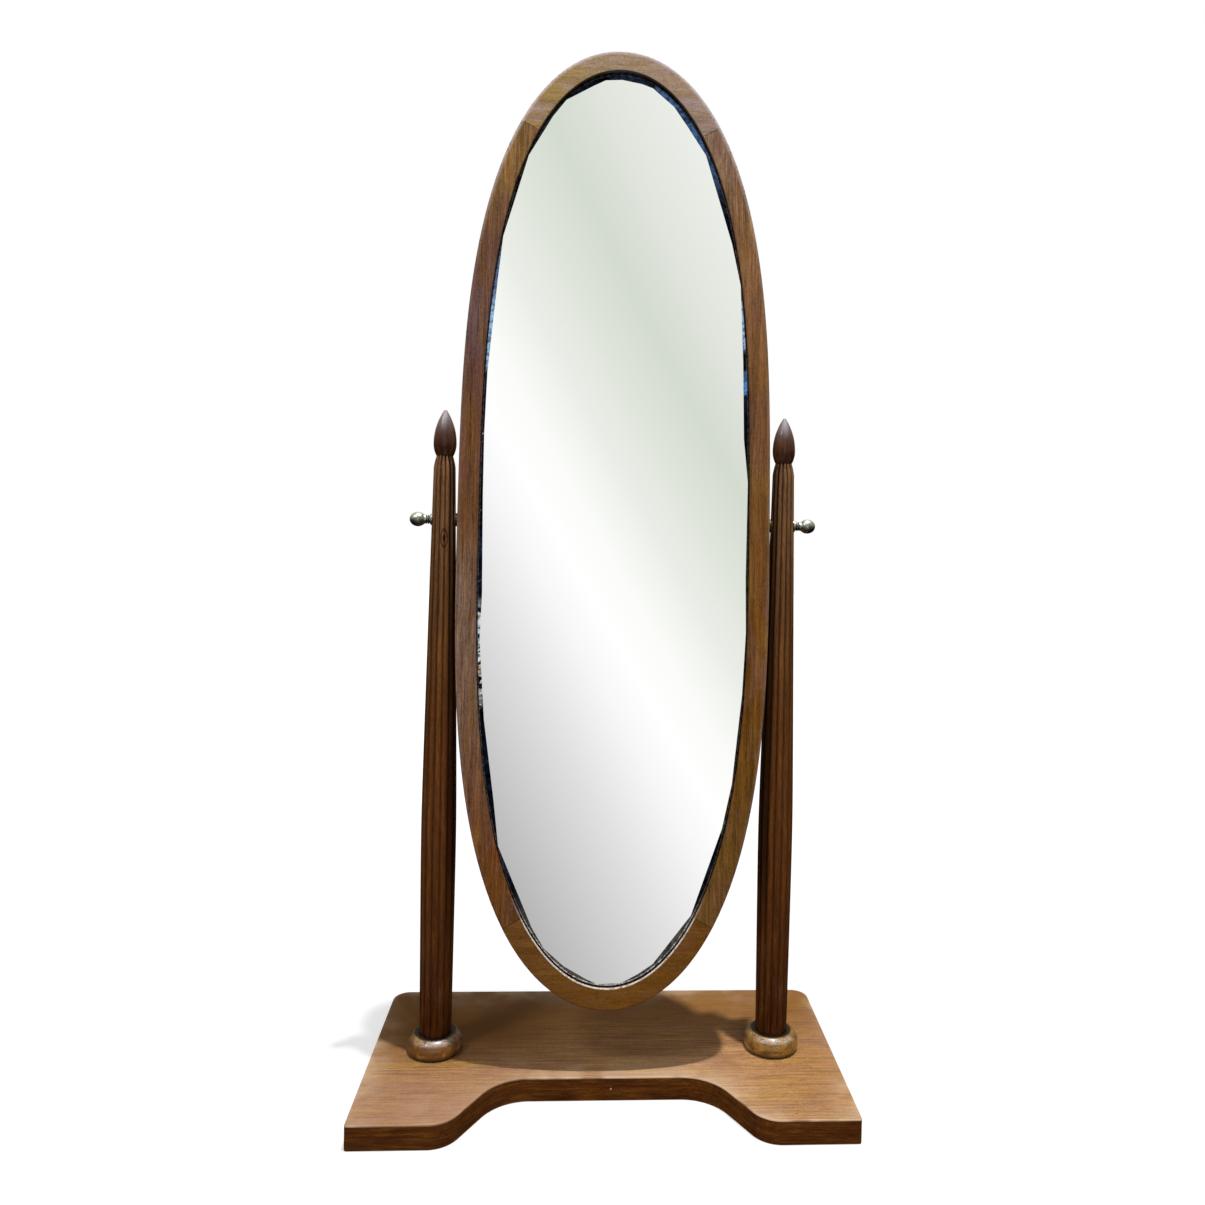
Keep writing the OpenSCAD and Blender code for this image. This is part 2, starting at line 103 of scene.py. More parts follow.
class Signal:
    """One output socket, on which ordinary arithmetic adds Math nodes."""

    def __init__(self, nodes: "Nodes", socket: bpy.types.NodeSocket) -> None:
        """Wrap a socket of a node tree."""
        self.nodes = nodes
        self.socket = socket

    def math(self, operation: str, other: "Signal | float" = 0.0, swap: bool = False) -> "Signal":
        """Result of a Math node on this value and another, which comes first if swapped."""
        first, second = (other, self) if swap else (self, other)
        return self.nodes.add("ShaderNodeMath", {"operation": operation}, {0: first, 1: second})

    def __add__(self, other: "Signal | float") -> "Signal":
        """Sum of two values."""
        return self.math("ADD", other)

    __radd__ = __add__

    def __sub__(self, other: "Signal | float") -> "Signal":
        """Difference of two values."""
        return self.math("SUBTRACT", other)

    def __rsub__(self, other: float) -> "Signal":
        """Difference with this value second."""
        return self.math("SUBTRACT", other, swap=True)

    def __mul__(self, other: "Signal | float") -> "Signal":
        """Product of two values."""
        return self.math("MULTIPLY", other)

    __rmul__ = __mul__

    def __truediv__(self, other: "Signal | float") -> "Signal":
        """Quotient of two values."""
        return self.math("DIVIDE", other)

    def __pow__(self, other: float) -> "Signal":
        """This value to a power."""
        return self.math("POWER", other)

    def __abs__(self) -> "Signal":
        """Size of this value without its sign."""
        return self.math("ABSOLUTE")

    def between(self, low: float, high: float) -> "Signal":
        """Smooth step from 0 where the value is low to 1 where it is high.

        Args:
            low: the value that gives 0.
            high: the value that gives 1. It may be the smaller one.

        Returns:
            The step.
        """
        settings = {"interpolation_type": "SMOOTHSTEP", "clamp": True}
        inputs = {"Value": self, "From Min": low, "From Max": high}
        return self.nodes.add("ShaderNodeMapRange", settings, inputs)


class Nodes:
    """A node tree that one method fills."""

    def __init__(self, tree: bpy.types.NodeTree) -> None:
        """Take the tree to fill."""
        self.tree = tree

    def add(self, kind: str, settings: dict | None = None, inputs: dict | None = None,
            output: int | str = 0) -> Signal:
        """Add a node.

        Args:
            kind: the node's type.
            settings: its settings, set first. "stops" are a ramp's places and colours.
            inputs: values or signals for its sockets, by name or number.
            output: the socket to return.

        Returns:
            The chosen output.
        """
        node = self.tree.nodes.new(kind)
        for name, value in (settings or {}).items():
            if name == "stops":
                self._set_stops(node.color_ramp, value)
            else:
                setattr(node, name, value)
        for name, value in (inputs or {}).items():
            self.feed(node.inputs[name], value)
        return Signal(self, node.outputs[output])

    def feed(self, socket: bpy.types.NodeSocket, value: "Signal | float | Sequence[float]") -> None:
        """Link or set a socket.

        Args:
            socket: the input socket.
            value: a signal to link, or a value to set.
        """
        if isinstance(value, Signal):
            self.tree.links.new(value.socket, socket)
        else:
            socket.default_value = value

    @staticmethod
    def _set_stops(ramp: bpy.types.ColorRamp, stops: Stops) -> None:
        """Give a ramp its places and colours.

        Args:
            ramp: the ramp of a new node.
            stops: places from 0 to 1 and their colours.
        """
        while len(ramp.elements) < len(stops):
            ramp.elements.new(0.5)
        for element, (place, code) in zip(ramp.elements, stops):
            element.position = place
            element.color = linear(code)

    def ramp(self, value: Signal, stops: Stops) -> Signal:
        """Colour of a value on a ramp."""
        return self.add("ShaderNodeValToRGB", {"stops": stops}, {"Fac": value})

    def mix(self, share: "Signal | float", first: "Signal | str", second: "Signal | str",
            blend: str = "MIX") -> Signal:
        """Mix two colours.

        Args:
            share: how much of the second colour there is.
            first: the first colour, a signal or hex digits.
            second: the second colour, a signal or hex digits.
            blend: the Mix node's blend type.

        Returns:
            The mixed colour.
        """
        ends = [linear(c) if isinstance(c, str) else c for c in (first, second)]
        settings = {"data_type": "RGBA", "blend_type": blend}
        return self.add("ShaderNodeMix", settings, {0: share, 6: ends[0], 7: ends[1]}, output=2)

    def split(self, vector: Signal) -> tuple[Signal, Signal, Signal]:
        """Three parts of a vector.

        Args:
            vector: the vector.

        Returns:
            Its X, Y and Z.
        """
        node = self.tree.nodes.new("ShaderNodeSeparateXYZ")
        self.feed(node.inputs[0], vector)
        return tuple(Signal(self, socket) for socket in node.outputs)

    def join(self, x: "Signal | float", y: "Signal | float", z: "Signal | float") -> Signal:
        """Vector of three values."""
        return self.add("ShaderNodeCombineXYZ", None, {0: x, 1: y, 2: z})

    def noise(self, vector: Signal, scale: float = 1.0, detail: float = 2.0,
              roughness: float = 0.5) -> Signal:
        """Noise about 0.5 at a place."""
        inputs = {"Vector": vector, "Scale": scale, "Detail": detail, "Roughness": roughness}
        return self.add("ShaderNodeTexNoise", None, inputs)

    def distance(self, vector: Signal, centre: Point) -> Signal:
        """How far a place is from a centre."""
        inputs = {0: vector, 1: centre}
        return self.add("ShaderNodeVectorMath", {"operation": "DISTANCE"}, inputs, output="Value")

    def blend(self, share: Signal, first: Signal, second: Signal) -> Signal:
        """Mix two shaders."""
        return self.add("ShaderNodeMixShader", None, {0: share, 1: first, 2: second})

    def coated(self, colour: Signal, *coats: "tuple[Signal | float, Signal | str]") -> Signal:
        """Lay colours over a colour, one after another.

        Args:
            colour: the colour below.
            coats: how much there is of each colour, and the colour.

        Returns:
            The colour on top.
        """
        for share, coat in coats:
            colour = self.mix(share, colour, coat)
        return colour


class Grain(Enum):
    """Which way the grain of a piece runs, in its own axes."""

    ALONG_X = "x"
    ALONG_Z = "z"


@dataclass(frozen=True)
class Place:
    """Where a piece's own axes are, in metres and radians."""

    origin: Point = (0.0, 0.0, 0.0)
    turn: Point = (0.0, 0.0, 0.0)


class Look(Nodes):
    """A material with its Principled shader."""

    def __init__(self, name: str) -> None:
        """Make the material.

        Args:
            name: the material's name.
        """
        self.material = bpy.data.materials.new(name)
        self.material.use_nodes = True
        super().__init__(self.material.node_tree)
        self.shader = self.tree.nodes["Principled BSDF"]

    def coords(self, place: Place) -> Signal:
        """Object coordinates in a piece's own axes.

        Args:
            place: the piece's own axes.

        Returns:
            The coordinates, in metres.
        """
        whole = self.add("ShaderNodeTexCoord", output="Object")
        inputs = {"Vector": whole, "Location": place.origin, "Rotation": place.turn}
        return self.add("ShaderNodeMapping", {"vector_type": "TEXTURE"}, inputs)

    def mark(self, name: str) -> Signal:
        """Value of a mesh attribute, or 0 where there is none."""
        return self.add("ShaderNodeAttribute", {"attribute_name": name}, output="Fac")

    def upward(self) -> Signal:
        """How far the surface looks up, from -1 to 1."""
        return self.split(self.add("ShaderNodeNewGeometry", output="Normal"))[2]

    def set(self, **values: "Signal | float | Sequence[float]") -> None:
        """Feed the shader's sockets, whose names are written with _ for a space."""
        for name, value in values.items():
            self.feed(self.shader.inputs[name.replace("_", " ")], value)

    def relief(self, height: Signal, depth: float, strength: float = 1.0) -> None:
        """Give the surface a relief of heights from 0 to 1, whose depth is in metres."""
        bump = self.add("ShaderNodeBump", None, {"Strength": strength, "Distance": depth, "Height": height})
        self.set(Normal=bump)


Marks = Callable[[Look, Signal, Signal], Signal]


# Finishes

# How many times streaks change in a metre, along the grain and across it

BAND = (2.5, 85.0)
LINE = (7.0, 330.0)
FIBRE = (26.0, 1000.0)
PORE = (110.0, 1500.0)
RING_FADE = (2.0, 12.0)


@dataclass(frozen=True)
class Fibres:
    """A wood's own coordinates: along its grain and across it."""

    nodes: Nodes
    along: Signal
    side: Signal
    inward: Signal
    drift: Signal

    def streaks(self, lengthwise: float, crosswise: float, detail: float = 2.0) -> Signal:
        """Noise about 0 that is drawn out along the grain, with its scales along and across it."""
        spot = self.nodes.join(self.along * lengthwise, self.side * crosswise, self.inward * crosswise)
        return self.nodes.noise(spot, detail=detail, roughness=0.6) - 0.5

    def rings(self, pitch: float) -> Signal:
        """Year rings of a pitch, in metres, that fade in and out along the piece."""
        wave = ((self.side + self.drift * 0.03) * (math.tau / pitch)).math("SINE")
        return wave * self.streaks(*RING_FADE).between(-0.08, 0.16)


@dataclass(frozen=True)
class Wood:
    """Wood whose colour changes along its length and in patches, with lines along the grain,
    mottling, open pores and a worn coat of lacquer, and painted light in some runs and marks."""

    name: str
    run: tuple[tuple[float, str], ...]
    warm: str
    gold: str
    deep: str
    patch_share: float = 0.6
    patch_size: float = 0.030
    band_share: float = 0.6
    line_share: float = 0.9
    fibre_share: float = 0.6
    mottle_share: float = 0.3
    mottle_size: float = 0.004
    pore_share: float = 0.4
    ring_pitch: float = 0.010
    ring_share: float = 0.0
    # worn: colour of rubbing, also of painted highlights; groove: colour of staining and painted shade.
    worn: str = "d8b890"
    groove: str = "150b05"
    roughness: float = 0.42
    gloss: float = 0.12
    coat: float = 0.0
    coat_roughness: float = 0.2
    grain: Grain = Grain.ALONG_Z

    def fibres(self, look: Look, where: Signal) -> Fibres:
        """Coordinates along and across this wood's grain, which drifts a little.

        Args:
            look: the material.
            where: coordinates in the piece's own axes.

        Returns:
            The coordinates.
        """
        x, y, z = look.split(where)
        along, across, deep = (x, y, z) if self.grain is Grain.ALONG_X else (z, x, y)
        drift = look.noise(look.join(along * 3.0, across * 7.0, deep * 7.0), detail=2.0) - 0.5
        return Fibres(look, along, across + drift * 0.02, deep + drift * 0.02, drift)

    def ground(self, look: Look, fibres: Fibres) -> Signal:
        """Colour along the piece, with redder and yellower patches.

        Args:
            look: the material.
            fibres: the wood's own coordinates.

        Returns:
            The colour.
        """
        first, last = self.run[0][0], self.run[-1][0]
        stops = [((at - first) / (last - first), code) for at, code in self.run]
        colour = look.ramp((fibres.along - first) / (last - first), stops)
        size = 1.0 / self.patch_size
        red = fibres.streaks(size * 0.3, size, 3.0).between(-0.04, 0.14)
        yellow = fibres.streaks(size * 0.2, size * 1.3, 4.0).between(0.0, 0.16)
        return look.coated(colour, (red * self.patch_share, self.warm),
                           (yellow * self.patch_share, self.gold))

    def dress(self, place: Place, more: Marks | None = None) -> Material:
        """Make the material.

        Args:
            place: the piece's own axes.
            more: adds marks of one piece to its colour, from the look, the coordinates and the colour.

        Returns:
            The material.
        """
        look = Look(self.name)
        where = look.coords(place)
        fibres = self.fibres(look, where)
        fibre = fibres.streaks(*FIBRE)
        line = fibres.streaks(*LINE)
        pore = fibres.streaks(*PORE, 0.0).between(0.12, 0.24)
        mottle = look.noise(where, scale=1.0 / self.mottle_size, detail=4.0, roughness=0.65) - 0.5
        tone = 1.0 + fibres.streaks(*BAND) * self.band_share + line * self.line_share
        tone = tone + fibre * self.fibre_share + mottle * self.mottle_share
        tone = tone + fibres.rings(self.ring_pitch) * self.ring_share
        colour = look.mix(1.0, self.ground(look, fibres), tone, "MULTIPLY")
        colour = look.mix(pore * self.pore_share, colour, self.deep)
        look.set(Coat_Weight=self.coat)
        if more:
            colour = more(look, where, colour)
        # The worn colour goes where the mesh marks rubbing and painted highlights, the groove colour where it
        # marks staining and painted shade.
        grit = look.noise(where, scale=260.0, detail=2.0).between(0.20, 0.55)
        rubbed = look.mark("wear") * grit * 0.8
        colour = look.coated(colour, (rubbed, self.worn), (look.mark("groove"), self.groove))
        look.set(Base_Color=colour, Specular_IOR_Level=self.gloss, Coat_Roughness=self.coat_roughness)
        look.set(Roughness=self.roughness + mottle * 0.25 + fibre * 0.15)
        look.relief(fibre * 0.6 + line * 0.4 - pore, 0.00015, 0.5)
        return look.material


@dataclass(frozen=True)
class Metal:
    """Plated or bare metal with a little tarnish and fine scratches."""

    name: str
    body: str
    tarnish: str
    tarnish_share: float = 0.5
    roughness: float = 0.25
    cloud_size: float = 0.006
    grime: str = "16130f"

    def dress(self) -> Material:
        """Make the material.

        Returns:
            The material.
        """
        look = Look(self.name)
        where = look.coords(Place())
        cloud = look.noise(where, scale=1.0 / self.cloud_size, detail=4.0, roughness=0.6)
        dull = cloud.between(0.45, 0.75)
        rub = look.noise(where, scale=1400.0, detail=2.0)
        colour = look.mix(dull * self.tarnish_share, self.body, self.tarnish)
        look.set(Base_Color=look.mix(look.mark("groove") * 0.9, colour, self.grime), Metallic=1.0)
        look.set(Roughness=self.roughness + dull * 0.2 + (rub - 0.5) * 0.1)
        look.relief(rub, 0.00002, 0.3)
        return look.material


@dataclass(frozen=True)
class Silvering:
    """Silvered plate glass with a little dust, and a bevel whose silvering is worn in flecks."""

    name: str
    plate: str
    bevel: str

    def dress(self, place: Place) -> Material:
        """Make the material.

        Args:
            place: the mirror's own axes.

        Returns:
            The material.
        """
        look = Look(self.name)
        where = look.coords(place)
        dust = look.noise(where, scale=14.0, detail=4.0, roughness=0.65)
        fleck = look.noise(where, scale=170.0, detail=3.0, roughness=0.6).between(0.60, 0.44) * 0.65 + 0.35
        bevel = look.mix(1.0, fleck, self.bevel, "MULTIPLY")
        look.set(Base_Color=look.mix(look.mark("bevel"), self.plate, bevel), Metallic=1.0)
        look.set(Roughness=dust.between(0.45, 0.9) * 0.02 + 0.006)
        return look.material


@dataclass(frozen=True)
class Leather:
    """Dark leather with a fine grain."""

    name: str
    body: str
    crease: str

    def dress(self) -> Material:
        """Make the material.

        Returns:
            The material.
        """
        look = Look(self.name)
        where = look.coords(Place())
        cell = look.add("ShaderNodeTexVoronoi", None, {"Vector": where, "Scale": 1500.0})
        look.set(Base_Color=look.mix(cell, self.crease, self.body), Roughness=0.7)
        look.relief(cell, 0.0001, 0.6)
        return look.material


# Mesh helpers


class Outline:
    """A chain of edges in a plane. Its arcs are made by spinning the last vertex."""

    def __init__(self, bm: Mesh, start: Point, axis: Point = (0, 0, 1)) -> None:
        """Begin at a point, in the plane that the axis stands on.

        Args:
            bm: the mesh to draw in.
            start: the first point.
            axis: the plane's normal, which arcs go round.
        """
        self.bm = bm
        self.axis = Vector(axis)
        self.last = bm.verts.new(start)

    def line(self, *point: float) -> "Outline":
        """Go straight to a point.

        Args:
            point: its X, Y and Z.

        Returns:
            This outline.
        """
        made = self.bm.verts.new(point)
        self.bm.edges.new((self.last, made))
        self.last = made
        return self

    def arc(self, centre: Point, degrees: float, steps: int, stretch: Point = (1, 1, 1)) -> "Outline":
        """Go round a centre.

        Args:
            centre: the arc's centre.
            degrees: how far, by the right-hand rule about the axis.
            steps: how many edges.
            stretch: scales the arc about its centre, which makes it part of an ellipse.

        Returns:
            This outline.
        """
        middle = Vector(centre)
        squeezed = Matrix.Translation(middle) @ Matrix.Diagonal((*stretch, 1)) @ Matrix.Translation(-middle)
        self.last.co = squeezed.inverted() @ self.last.co
        before = len(self.bm.verts)
        made = bmesh.ops.spin(self.bm, geom=[self.last], cent=middle, axis=self.axis,
                              angle=math.radians(degrees), steps=steps)
        for vert in [self.last] + list(self.bm.verts)[before:]:
            vert.co = squeezed @ vert.co
        self.last = made["geom_last"][0]
        return self


class Profile(Outline):
    """A chain of edges in the XZ plane, to be turned round the Z axis."""

    def __init__(self, bm: Mesh, radius: float, height: float) -> None:
        """Begin at a radius and a height."""
        super().__init__(bm, (radius, 0, height), (0, -1, 0))

    def to(self, *spots: tuple[float, float]) -> "Profile":
        """Go straight to points, each a radius and a height.

        Args:
            spots: the points.

        Returns:
            This profile.
        """
        for radius, height in spots:
            self.line(radius, 0, height)
        return self

    def bow(self, radius: float, height: float, degrees: float, steps: int,
            tall: float = 1.0) -> "Profile":
        """Go round a centre, from outwards to upwards, on an ellipse as tall as given for its width."""
        self.arc((radius, 0, height), degrees, steps, (1, 1, tall))
        return self


def spun(bm: Mesh, steps: int) -> None:
    """Turn everything in a mesh round the Z axis and close its poles.

    Args:
        bm: the mesh.
        steps: how many faces go round.
    """
    bmesh.ops.spin(bm, geom=bm.verts[:] + bm.edges[:], cent=(0, 0, 0), axis=(0, 0, 1),
                   angle=math.tau, steps=steps, use_merge=True)
    tidy(bm)


def tidy(bm: Mesh) -> None:
    """Merge doubles and turn the faces outwards.

    Args:
        bm: the mesh.
    """
    bmesh.ops.remove_doubles(bm, verts=bm.verts, dist=MERGE)
    bmesh.ops.dissolve_degenerate(bm, edges=bm.edges, dist=DROP)
    bmesh.ops.recalc_face_normals(bm, faces=bm.faces)


def boundary_at(bm: Mesh, height: float) -> list[Edge]:
    """Open edges at a height."""
    return [e for e in bm.edges if e.is_boundary and all(abs(v.co.z - height) < LEVEL for v in e.verts)]


def next_ring(bm: Mesh, edges: Sequence[Edge]) -> tuple[list[Vert], list[Edge], list[Face]]:
    """Extrude a chain of edges without moving it.

    Args:
        bm: the mesh.
        edges: the chain.

    Returns:
        The new chain's vertices and its edges, and the faces between the chains.
    """
    made = bmesh.ops.extrude_edge_only(bm, edges=edges)["geom"]
    verts = [v for v in made if isinstance(v, Vert)]
    kept = set(verts)
    chain = [e for e in made if isinstance(e, Edge) and kept.issuperset(e.verts)]
    return verts, chain, [f for f in made if isinstance(f, Face)]


def move_out(vert: Vert, radius: float, height: float) -> None:
    """Put a vertex at a radius and a height, on its own side of the Z axis."""
    angle = math.atan2(vert.co.y, vert.co.x)
    vert.co = (radius * math.cos(angle), radius * math.sin(angle), height)


def climb(value: float, low: float, high: float) -> float:
    """How far a value has come from low to high, from 0 to 1."""
    return min(1.0, max(0.0, (value - low) / (high - low)))


def mesh_of(name: str, bm: Mesh) -> bpy.types.Mesh:
    """Make a mesh of a bmesh, which is freed.

    Args:
        name: the mesh's name.
        bm: the bmesh.

    Returns:
        The mesh.
    """
    mesh = bpy.data.meshes.new(name)
    bm.to_mesh(mesh)
    bm.free()
    return mesh


def in_scene(name: str, data: bpy.types.ID) -> Object:
    """Make an object of a mesh, a lamp or a camera, and link it to the scene.

    Args:
        name: the object's name.
        data: what it shows.

    Returns:
        The object.
    """
    thing = bpy.data.objects.new(name, data)
    bpy.context.scene.collection.objects.link(thing)
    return thing


@dataclass(frozen=True)
class Role:
    """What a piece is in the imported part."""

    name: str
    body: str
    slot: str
    nodes: tuple[str, ...]


def placed(bm: Mesh, role: Role, material: Material,
           to: Matrix | None = None, crease: float = 28.0) -> Object:
    """Make an object of a mesh in millimetres.

    Args:
        bm: the mesh, which is freed.
        role: the piece's name, body, slot and nodes.
        material: its material.
        to: moves the mesh to its place, in millimetres.
        crease: edges with a sharper angle than this, in degrees, stay sharp.

    Returns:
        The object.
    """
    bm.transform(Matrix.Scale(MM, 4) @ (to or Matrix.Identity(4)))
    for face in bm.faces:
        face.smooth = True
    for edge in bm.edges:
        edge.smooth = not edge.is_manifold or edge.calc_face_angle(0.0) < math.radians(crease)
    mesh = mesh_of(role.name, bm)
    mesh.materials.append(material)
    piece = in_scene(role.name, mesh)
    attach(piece, role.body)
    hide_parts(*role.nodes)
    LOG.info("%s: %d faces on %s", role.name, len(mesh.polygons), role.body)
    return piece


def cut(piece: Object, cutter: Mesh) -> None:
    """Take a closed shape, in millimetres, out of a piece.

    Args:
        piece: the piece to cut.
        cutter: the shape to take out, which is freed.
    """
    cutter.transform(Matrix.Scale(MM, 4))
    mesh = mesh_of("cutter", cutter)
    tool = in_scene("cutter", mesh)
    modifier = piece.modifiers.new("cut", "BOOLEAN")
    modifier.operation = "DIFFERENCE"
    modifier.solver = "EXACT"
    modifier.object = tool
    bpy.context.view_layer.update()
    shaped = bpy.data.meshes.new_from_object(piece.evaluated_get(bpy.context.evaluated_depsgraph_get()))
    piece.modifiers.remove(modifier)
    old = piece.data
    name = old.name
    piece.data = shaped
    bpy.data.meshes.remove(old)
    shaped.name = name
    bpy.data.objects.remove(tool)
    bpy.data.meshes.remove(mesh)


# The stand


@dataclass
class PlankBase:
    """The plank on the floor, with a serpentine recess in its front edge. Sizes in millimetres."""

    post_x: float
    width: float = 700.0
    depth: float = 370.0
    thick: float = BASE_TOP
    back_corner: float = 25.0
    front_corner: float = 4.0
    recess_depth: float = 108.0
    recess_half: float = 241.0
    outer_arc: float = 45.0
    inner_arc: float = 75.0
    slope: float = 60.0
    arris: float = 1.3
    screw_head_r: float = 14.0
    screw_head_z: float = 8.0
    screw_r: float = 4.3
    tenon_r: float = 15.1
    tenon_z: float = 14.7
    bore_steps: int = 48

    def outline(self, bm: Mesh) -> None:
        """Draw the plank's outline at the floor, anticlockwise from the recess.

        Args:
            bm: the mesh to draw in.
        """
        half, front, back = self.width / 2, -self.depth / 2, self.depth / 2
        turn = math.radians(self.slope)
        share = 1 - math.cos(turn)
        run = (self.recess_depth - (self.outer_arc + self.inner_arc) * share) / math.sin(turn)
        ax = self.recess_half - self.outer_arc * math.sin(turn)
        ay = front + self.outer_arc * share
        bx = ax - run * math.cos(turn)
        by = ay + run * math.sin(turn)
        cx = bx - self.inner_arc * math.sin(turn)
        cy = front + self.recess_depth
        near, far = self.front_corner, self.back_corner
        deep, mouth, tight, wide = 22, 16, 5, 14
        path = Outline(bm, (-cx, cy, 0))
        path.line(cx, cy, 0).arc((cx, cy - self.inner_arc, 0), -self.slope, deep)
        path.line(ax, ay, 0).arc((self.recess_half, front + self.outer_arc, 0), self.slope, mouth)
        path.line(half - near, front, 0).arc((half - near, front + near, 0), 90, tight)
        path.line(half, back - far, 0).arc((half - far, back - far, 0), 90, wide)
        path.line(far - half, back, 0).arc((far - half, back - far, 0), 90, wide)
        path.line(-half, front + near, 0).arc((near - half, front + near, 0), 90, tight)
        path.line(-self.recess_half, front, 0)
        path.arc((-self.recess_half, front + self.outer_arc, 0), self.slope, mouth)
        path.line(-bx, by, 0).arc((-cx, cy - self.inner_arc, 0), -self.slope, deep)
        bmesh.ops.remove_doubles(bm, verts=bm.verts, dist=NEAR)

    def bore(self, bm: Mesh, side: Side) -> None:
        """Turn the hole for a post's tenon and the counterbore under it.

        Args:
            bm: the plank's mesh.
            side: the post's side.
        """
        x = side.value * self.post_x
        before = set(bm.verts)
        path = Outline(bm, (x + self.screw_head_r, POST_Y, 0))
        for radius, height in ((self.screw_head_r, self.screw_head_z), (self.screw_r, self.screw_head_z),
                               (self.screw_r, self.tenon_z), (self.tenon_r, self.tenon_z),
                               (self.tenon_r, self.thick)):
            path.line(x + radius, POST_Y, height)
        verts = [v for v in bm.verts if v not in before]
        edges = [e for e in bm.edges if e.verts[0] not in before]
        bmesh.ops.spin(bm, geom=verts + edges, cent=(x, POST_Y, 0), axis=(0, 0, 1),
                       angle=math.tau, steps=self.bore_steps, use_merge=True)

    def build(self, material: Material) -> None:
        """Build the plank.

        Args:
            material: its material.
        """
        bm = bmesh.new()
        self.outline(bm)
        bmesh.ops.contextual_create(bm, geom=bm.edges[:])
        raised = bmesh.ops.extrude_face_region(bm, geom=bm.faces[:])
        top = [v for v in raised["geom"] if isinstance(v, Vert)]
        bmesh.ops.translate(bm, verts=top, vec=(0, 0, self.thick))
        bmesh.ops.recalc_face_normals(bm, faces=bm.faces)
        rims = [e for e in bm.edges if abs(e.verts[0].co.z - e.verts[1].co.z) < LEVEL]
        bmesh.ops.bevel(bm, geom=rims, offset=self.arris, offset_type="OFFSET", segments=3,
                        profile=0.5, affect="EDGES", material=-1, clamp_overlap=True)
        caps = [f for f in bm.faces if abs(f.normal.z) > FLAT]
        bmesh.ops.delete(bm, geom=caps, context="FACES_ONLY")
        for side in Side:
            self.bore(bm, side)
        for height in (0.0, self.thick):
            bmesh.ops.triangle_fill(bm, use_beauty=True, edges=boundary_at(bm, height))
        tidy(bm)
        placed(bm, Role("plank_base", "stand", "base_wood", ("base_board",)), material)


